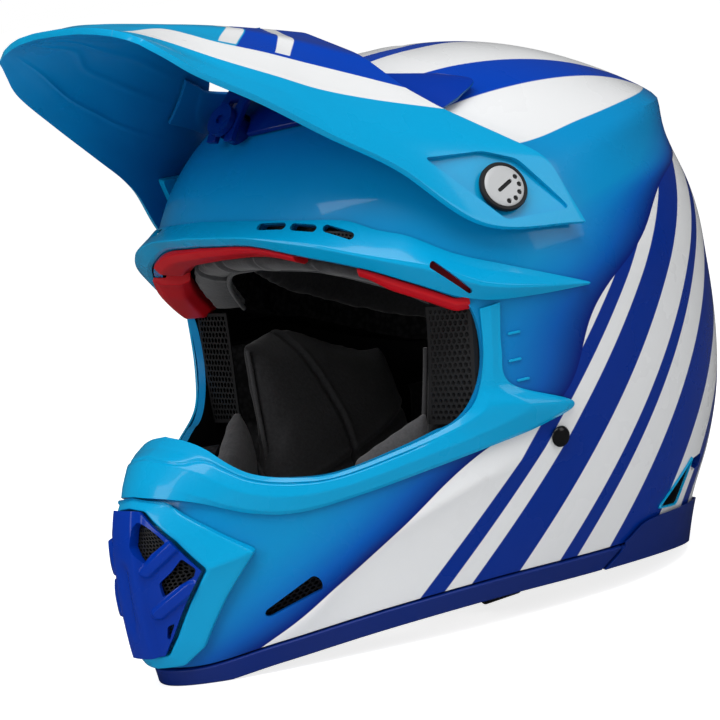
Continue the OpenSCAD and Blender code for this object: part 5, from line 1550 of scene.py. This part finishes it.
finish_pad(cheek_right, pad_knit, "cheek_pad_right")

t = np.linspace(37, 53, 24)
f = np.linspace(0, 1, 22)[:, None]
z_rows = mix(58.0, eye_edge(t, DIP, LOW_BEND) + mix(2, 6, ramp(t, 38, 52)), f)
bulge = np.sin(np.pi * f) ** 0.6
roll_depth = -30 - 7 * bulge * np.sin(np.pi * (t - 36) / 18) ** 0.5
roll = cushion("cheek_roll", *two_skins(t, z_rows, -22.5 + bulge, roll_depth), 2.0, voxel=4.0)
sew(roll, lambda p: [polar(p) - 44])
roll_right = mirrored(roll, "cheek_roll.right")
finish_pad(roll, grey_knit)
finish_pad(roll_right, grey_knit)

BROW_PAD_EDGE = [(0, EYE_TOP - 4), (25, EYE_TOP - 10), (45, EYE_TOP - 27), (56, EYE_TOP - 42)]
t = np.linspace(-55.5, 55.5, 70)
f = np.linspace(0, 1, 12)[:, None]
z_rows = curve(BROW_PAD_EDGE, np.abs(t)) - 1.6 + 7.2 * f
brow_skins = two_skins(t, z_rows, -18.6, -37.4 - 2 * np.sin(np.pi * f))
brow = cushion("brow_cushion", *brow_skins, 1.5, voxel=2.6, fine=1)
sew(brow, lambda p: [np.abs(p[:, 0]) - 42, np.abs(p[:, 0]) - 12], depth=1.2, width=1.6)
finish_pad(brow, pad_knit, "brow_pad")

t = np.linspace(112.5, 247.5, 70)
signed = np.where(t > 180, t - 360, t)
f = np.linspace(0, 1, 24)[:, None]
z_rows = mix(rim_at(signed) + 3.6, 89.4, f)
nape_puff = 13 * np.sin(np.pi * f) ** 0.7
nape = cushion("nape_roll", *two_skins(signed, z_rows, -8.1, -15.2 - nape_puff), 1.6)
sew(nape, lambda p: [p[:, 2] - 66, np.abs(p[:, 0]) - 40])
finish_pad(nape, pad_knit, "neck_roll")

CROWN_PAD_LOW = [(0, 201), (45, 187), (65, 167), (80, 148), (120, 118), (180, 108)]
t = np.linspace(-180, 180, 96, endpoint=False)
f = np.linspace(0, 1, 30)[:, None]
z_rows = np.concatenate([upward(curve(CROWN_PAD_LOW, np.abs(t)) + 1, f), np.full((1, len(t)), SHELL_H)])
skins = [on_shell(t, z_rows, off, 0.0) for off in (-33.0, -41.2)]
crown_pad = cushion("crown_cushion", *skins, 1.2, voxel=3.4, fine=1, wrap=True)


def crown_lines(p):
    """The crown pad's seams: two along it at each side, and one round it."""
    return [np.abs(p[:, 0]) - 22, np.abs(p[:, 0]) - 58, p[:, 2] - 172]


sew(crown_pad, crown_lines, depth=1.5, width=3.0)
finish_pad(crown_pad, pad_knit, "crown_pad")
print("pads:", [len(p.data.polygons) for p in (cheek, roll, brow, nape, crown_pad)])

# %% [markdown]
# The foam's front edge under the brow is capped by red mouldings, in three lengths, and a thin red insert
# shows through each winglet's slit. Piping is a thin round cord along the pads' front edges: a circle carried
# along a path, with its frame from the path's own direction.

# %% Red edges and piping
RED_SECTION = [(-5.6, 4.0), (-5.6, -0.6), (0.6, -0.6), (1.2, -4.0), (-2.5, -8.0), (-13.0, -8.5)]
RED_SECTION = np.array(RED_SECTION + [(-17.5, -4.0), (-17.5, 4.0)])


def loft(name, rings):
    """Closed solid through rings of points, with a flat end at each side."""
    rows, sides = rings.shape[:2]
    ends = np.arange(sides)[None]
    faces = [grid_faces(rows, sides, True), ends, (rows - 1) * sides + ends[:, ::-1]]
    return outward(make(name, rings, faces))


def red_edge(name, t, deep):
    """Moulded edge along the brow: a section of flat facets whose depth below the edge is scaled by deep."""
    section = round_loop(RED_SECTION, 6, 0.12)
    z = eye_edge(np.minimum(np.abs(t), HIGH_BEND), LID, HIGH_BEND)[:, None]
    drop = np.where(section[:, 1] < 0, section[:, 1] * deep[:, None], section[:, 1])
    return loft(name, on_shell(t[:, None], z + drop, section[None, :, 0]))


centre_t, side_t = np.linspace(-26, 26, 60), np.linspace(39, 59.5, 30)
edge_centre = red_edge("red_edge_centre", centre_t, mix(0.75, 0.35, ramp(centre_t, -20, 20)))
edge_left = red_edge("red_edge_left", side_t, mix(0.5, 0.85, ramp(side_t, 39, 46)))
edge_right = mirrored(edge_left, "red_edge_right")
for edge, side_name in ((edge_centre, "centre"), (edge_left, "left"), (edge_right, "right")):
    round_edges(edge, 0.6)
    dress(edge, "red_foam", red_foam, stands_for="red_liner_edge_" + side_name, sharp=45)

slit_turn = math.radians(WING_SLIT[3])
u, v = np.meshgrid(np.linspace(-13, 13, 24), np.linspace(-2.6, 2.6, 5))
t_rows = WING_SLIT[0] + (u * math.cos(slit_turn) - v * math.sin(slit_turn)) / ARC_MM
z_rows = WING_SLIT[1] + u * math.sin(slit_turn) + v * math.cos(slit_turn)
insert = slab("slit_insert", *two_skins(t_rows, z_rows, 0.55, 0.15))
for piece in in_pairs(insert):
    dress(piece, "red_foam", red_foam, sharp=45)


def tube(name, path, radius, sides=10):
    """Round cord along a path of points."""
    ahead_of = unit(np.gradient(path, axis=0))
    side = unit(np.cross(ahead_of, [0.02, 0.05, 1.0]))
    other = np.cross(ahead_of, side)
    a = np.linspace(0, 2 * np.pi, sides, endpoint=False)[None, :, None]
    ring = path[:, None] + radius * (np.cos(a) * side[:, None] + np.sin(a) * other[:, None])
    return loft(name, ring)


PIPING_R = 1.1
t = np.linspace(-54.5, 54.5, 90)
brow_path = on_shell(t, curve(BROW_PAD_EDGE, np.abs(t)) - 2.0, -36.6)
dress(tube("brow_piping", brow_path, PIPING_R), "pad_fabric", piping_cord)
z = np.linspace(34, 132, 60)
cheek_path = on_shell(52.6, z, -36 - 2.5 * np.sin(np.pi * (z - 24) / 116))
dress_both(tube("cheek_piping", cheek_path, PIPING_R), "pad_fabric", piping_cord)

# %% [markdown]
# The chin strap: webbing down inside the shell and in under the cheeks, a sewn loop that holds two steel
# rings, a press stud and two red pull tabs. A ribbon is a path with a side direction at each point, which
# turns from the wall's level to straight back as the strap comes off the wall.

# %% Chin strap
STRAP_W, STRAP_T, RING_X, RING_LOW, RING_PITCH = 22.0, 2.0, 56.0, 6.2, 5.0
STRAP_Y = float(shell_pt(RIVET_T, 30)[1])
LOOP_R, ROD_R = 3.55, 1.81
wall_z = np.array([89, 66, 48, 30, 22.0])
wall_run = on_shell(RIVET_T, wall_z, -9.0 - ramp(wall_z, 40, 22) * 2.5)
RING_RUN = [(84, 13.5), (76, 10.6), (69, 9.2), (RING_X + LOOP_R + 0.2, RING_LOW + RING_PITCH / 2)]
TAIL_RUN = [(84, 13.5), (76, 10), (66, 7.2), (54, 5), (42, 3.6), (32, 3)]


def ribbon(name, run):
    """Webbing along the wall and then along rows of (x, z) in the strap's plane."""
    loose = np.array([(x, STRAP_Y, height) for x, height in run])
    knots = np.concatenate([wall_run, loose])
    index = np.arange(len(knots))
    wall_side = unit(shell_n(RIVET_T, RIVET_HEIGHT)[[1, 0, 2]] * [-1, 1, 0])
    side_knots = unit(mix(wall_side[None], np.array([[0, 1.0, 0]]), ramp(index, 3, 6)[:, None]))
    fine = np.linspace(0, len(knots) - 1, 12 * len(knots))
    path = through(knots, fine)
    side = unit(through(side_knots, fine))
    face = unit(np.cross(np.gradient(path, axis=0), side))
    across = np.linspace(-1, 1, 9)[:, None, None] * (STRAP_W / 2 - 0.2) * side[None]
    swell = STRAP_T / 2 * np.array([0.55] + [0.95] * 7 + [0.55])[:, None, None] * face[None]
    return outward(slab(name, path[None] + across + swell, path[None] + across - swell))


strap_left = ribbon("strap_web_left", RING_RUN)
strap_right = mirrored(ribbon("strap_tail", TAIL_RUN), "strap_web_right")
bpy.data.objects.remove(bpy.data.objects["strap_tail"])
dress(strap_left, "strap_web", strap_web, stands_for="chin_strap_left", sharp=60)
dress(strap_right, "strap_web", strap_web, stands_for="chin_strap_right", sharp=60)
loop_spot = (RING_X, STRAP_Y, RING_LOW + RING_PITCH / 2)
loop_outline = oblong(RING_PITCH + 2 * LOOP_R, 2 * LOOP_R, 90, 40)
keeper = prism("strap_keeper", loop_outline, loop_spot, (0, -1, 0), -11, 11)
round_edges(keeper, 0.4)
rods = []
for height in (RING_LOW, RING_LOW + RING_PITCH):
    rods.append(prism("rod", circle(ROD_R), (RING_X, STRAP_Y, height), (0, -1, 0), -14, 14))
combine(keeper, rods)
dress(keeper, "strap_web", strap_web, stands_for="strap_loop", sharp=50)
stud_profile = [(5.6, 0), (6, 0.3), (6, 1.1), (5.5, 1.5), (3.6, 1.5), (3.5, 2.6), (3.1, 3.0), (0.8, 3.0)]
stud = spun("press_stud", stud_profile, (-40, STRAP_Y, 5.3), (0.001, 0, 1), 40)
t = np.linspace(60, 68, 12)
z_rows = np.linspace(11, 23.5, 10)[:, None]
tab = slab("pull_tab", *two_skins(t, z_rows, -34, -35.6))
round_edges(tab, 0.4)
dress_both(tab, "red_web", red_web, nodes=sided("release_tab_"), sharp=50)

# %% [markdown]
# The last pieces keep their construction shape and only get a finish: plated steel with a fine brushed grain,
# the foam blocks behind the pads, and dark gloss on the screw and nut that hold the visor's tongue.

# %% Steel and foam nodes
steel, tree, shader = new_material("plated_steel", 0.3, (0.52, 0.53, 0.55), Metallic=1.0)
stretched = node(tree, "Mapping", {"Vector": object_place(tree), "Scale": (1.0, 12.0, 1.0)}).outputs[0]
peel(tree, shader, stretched, 500.0, 0.01, 0.22, 0.4)
dress(stud, "steel", steel, stands_for="strap_snap", sharp=40)
STEEL_NODES = [*sided("visor_bush_"), *sided("visor_nut_"), "strap_anchors", "d_ring_upper", "d_ring_lower"]
FOAM_NODES = ["impact_liner", "chin_liner", *sided("cheek_core_")]
DARK_NODES = ["centre_screw", "centre_nut"]
for finish, names in ((steel, STEEL_NODES), (black_foam, FOAM_NODES), (navy_gloss, DARK_NODES)):
    for name in names:
        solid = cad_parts[name]
        solid.data.materials.clear()
        solid.data.materials.append(finish)
print("finished nodes:", len(STEEL_NODES + FOAM_NODES + DARK_NODES))
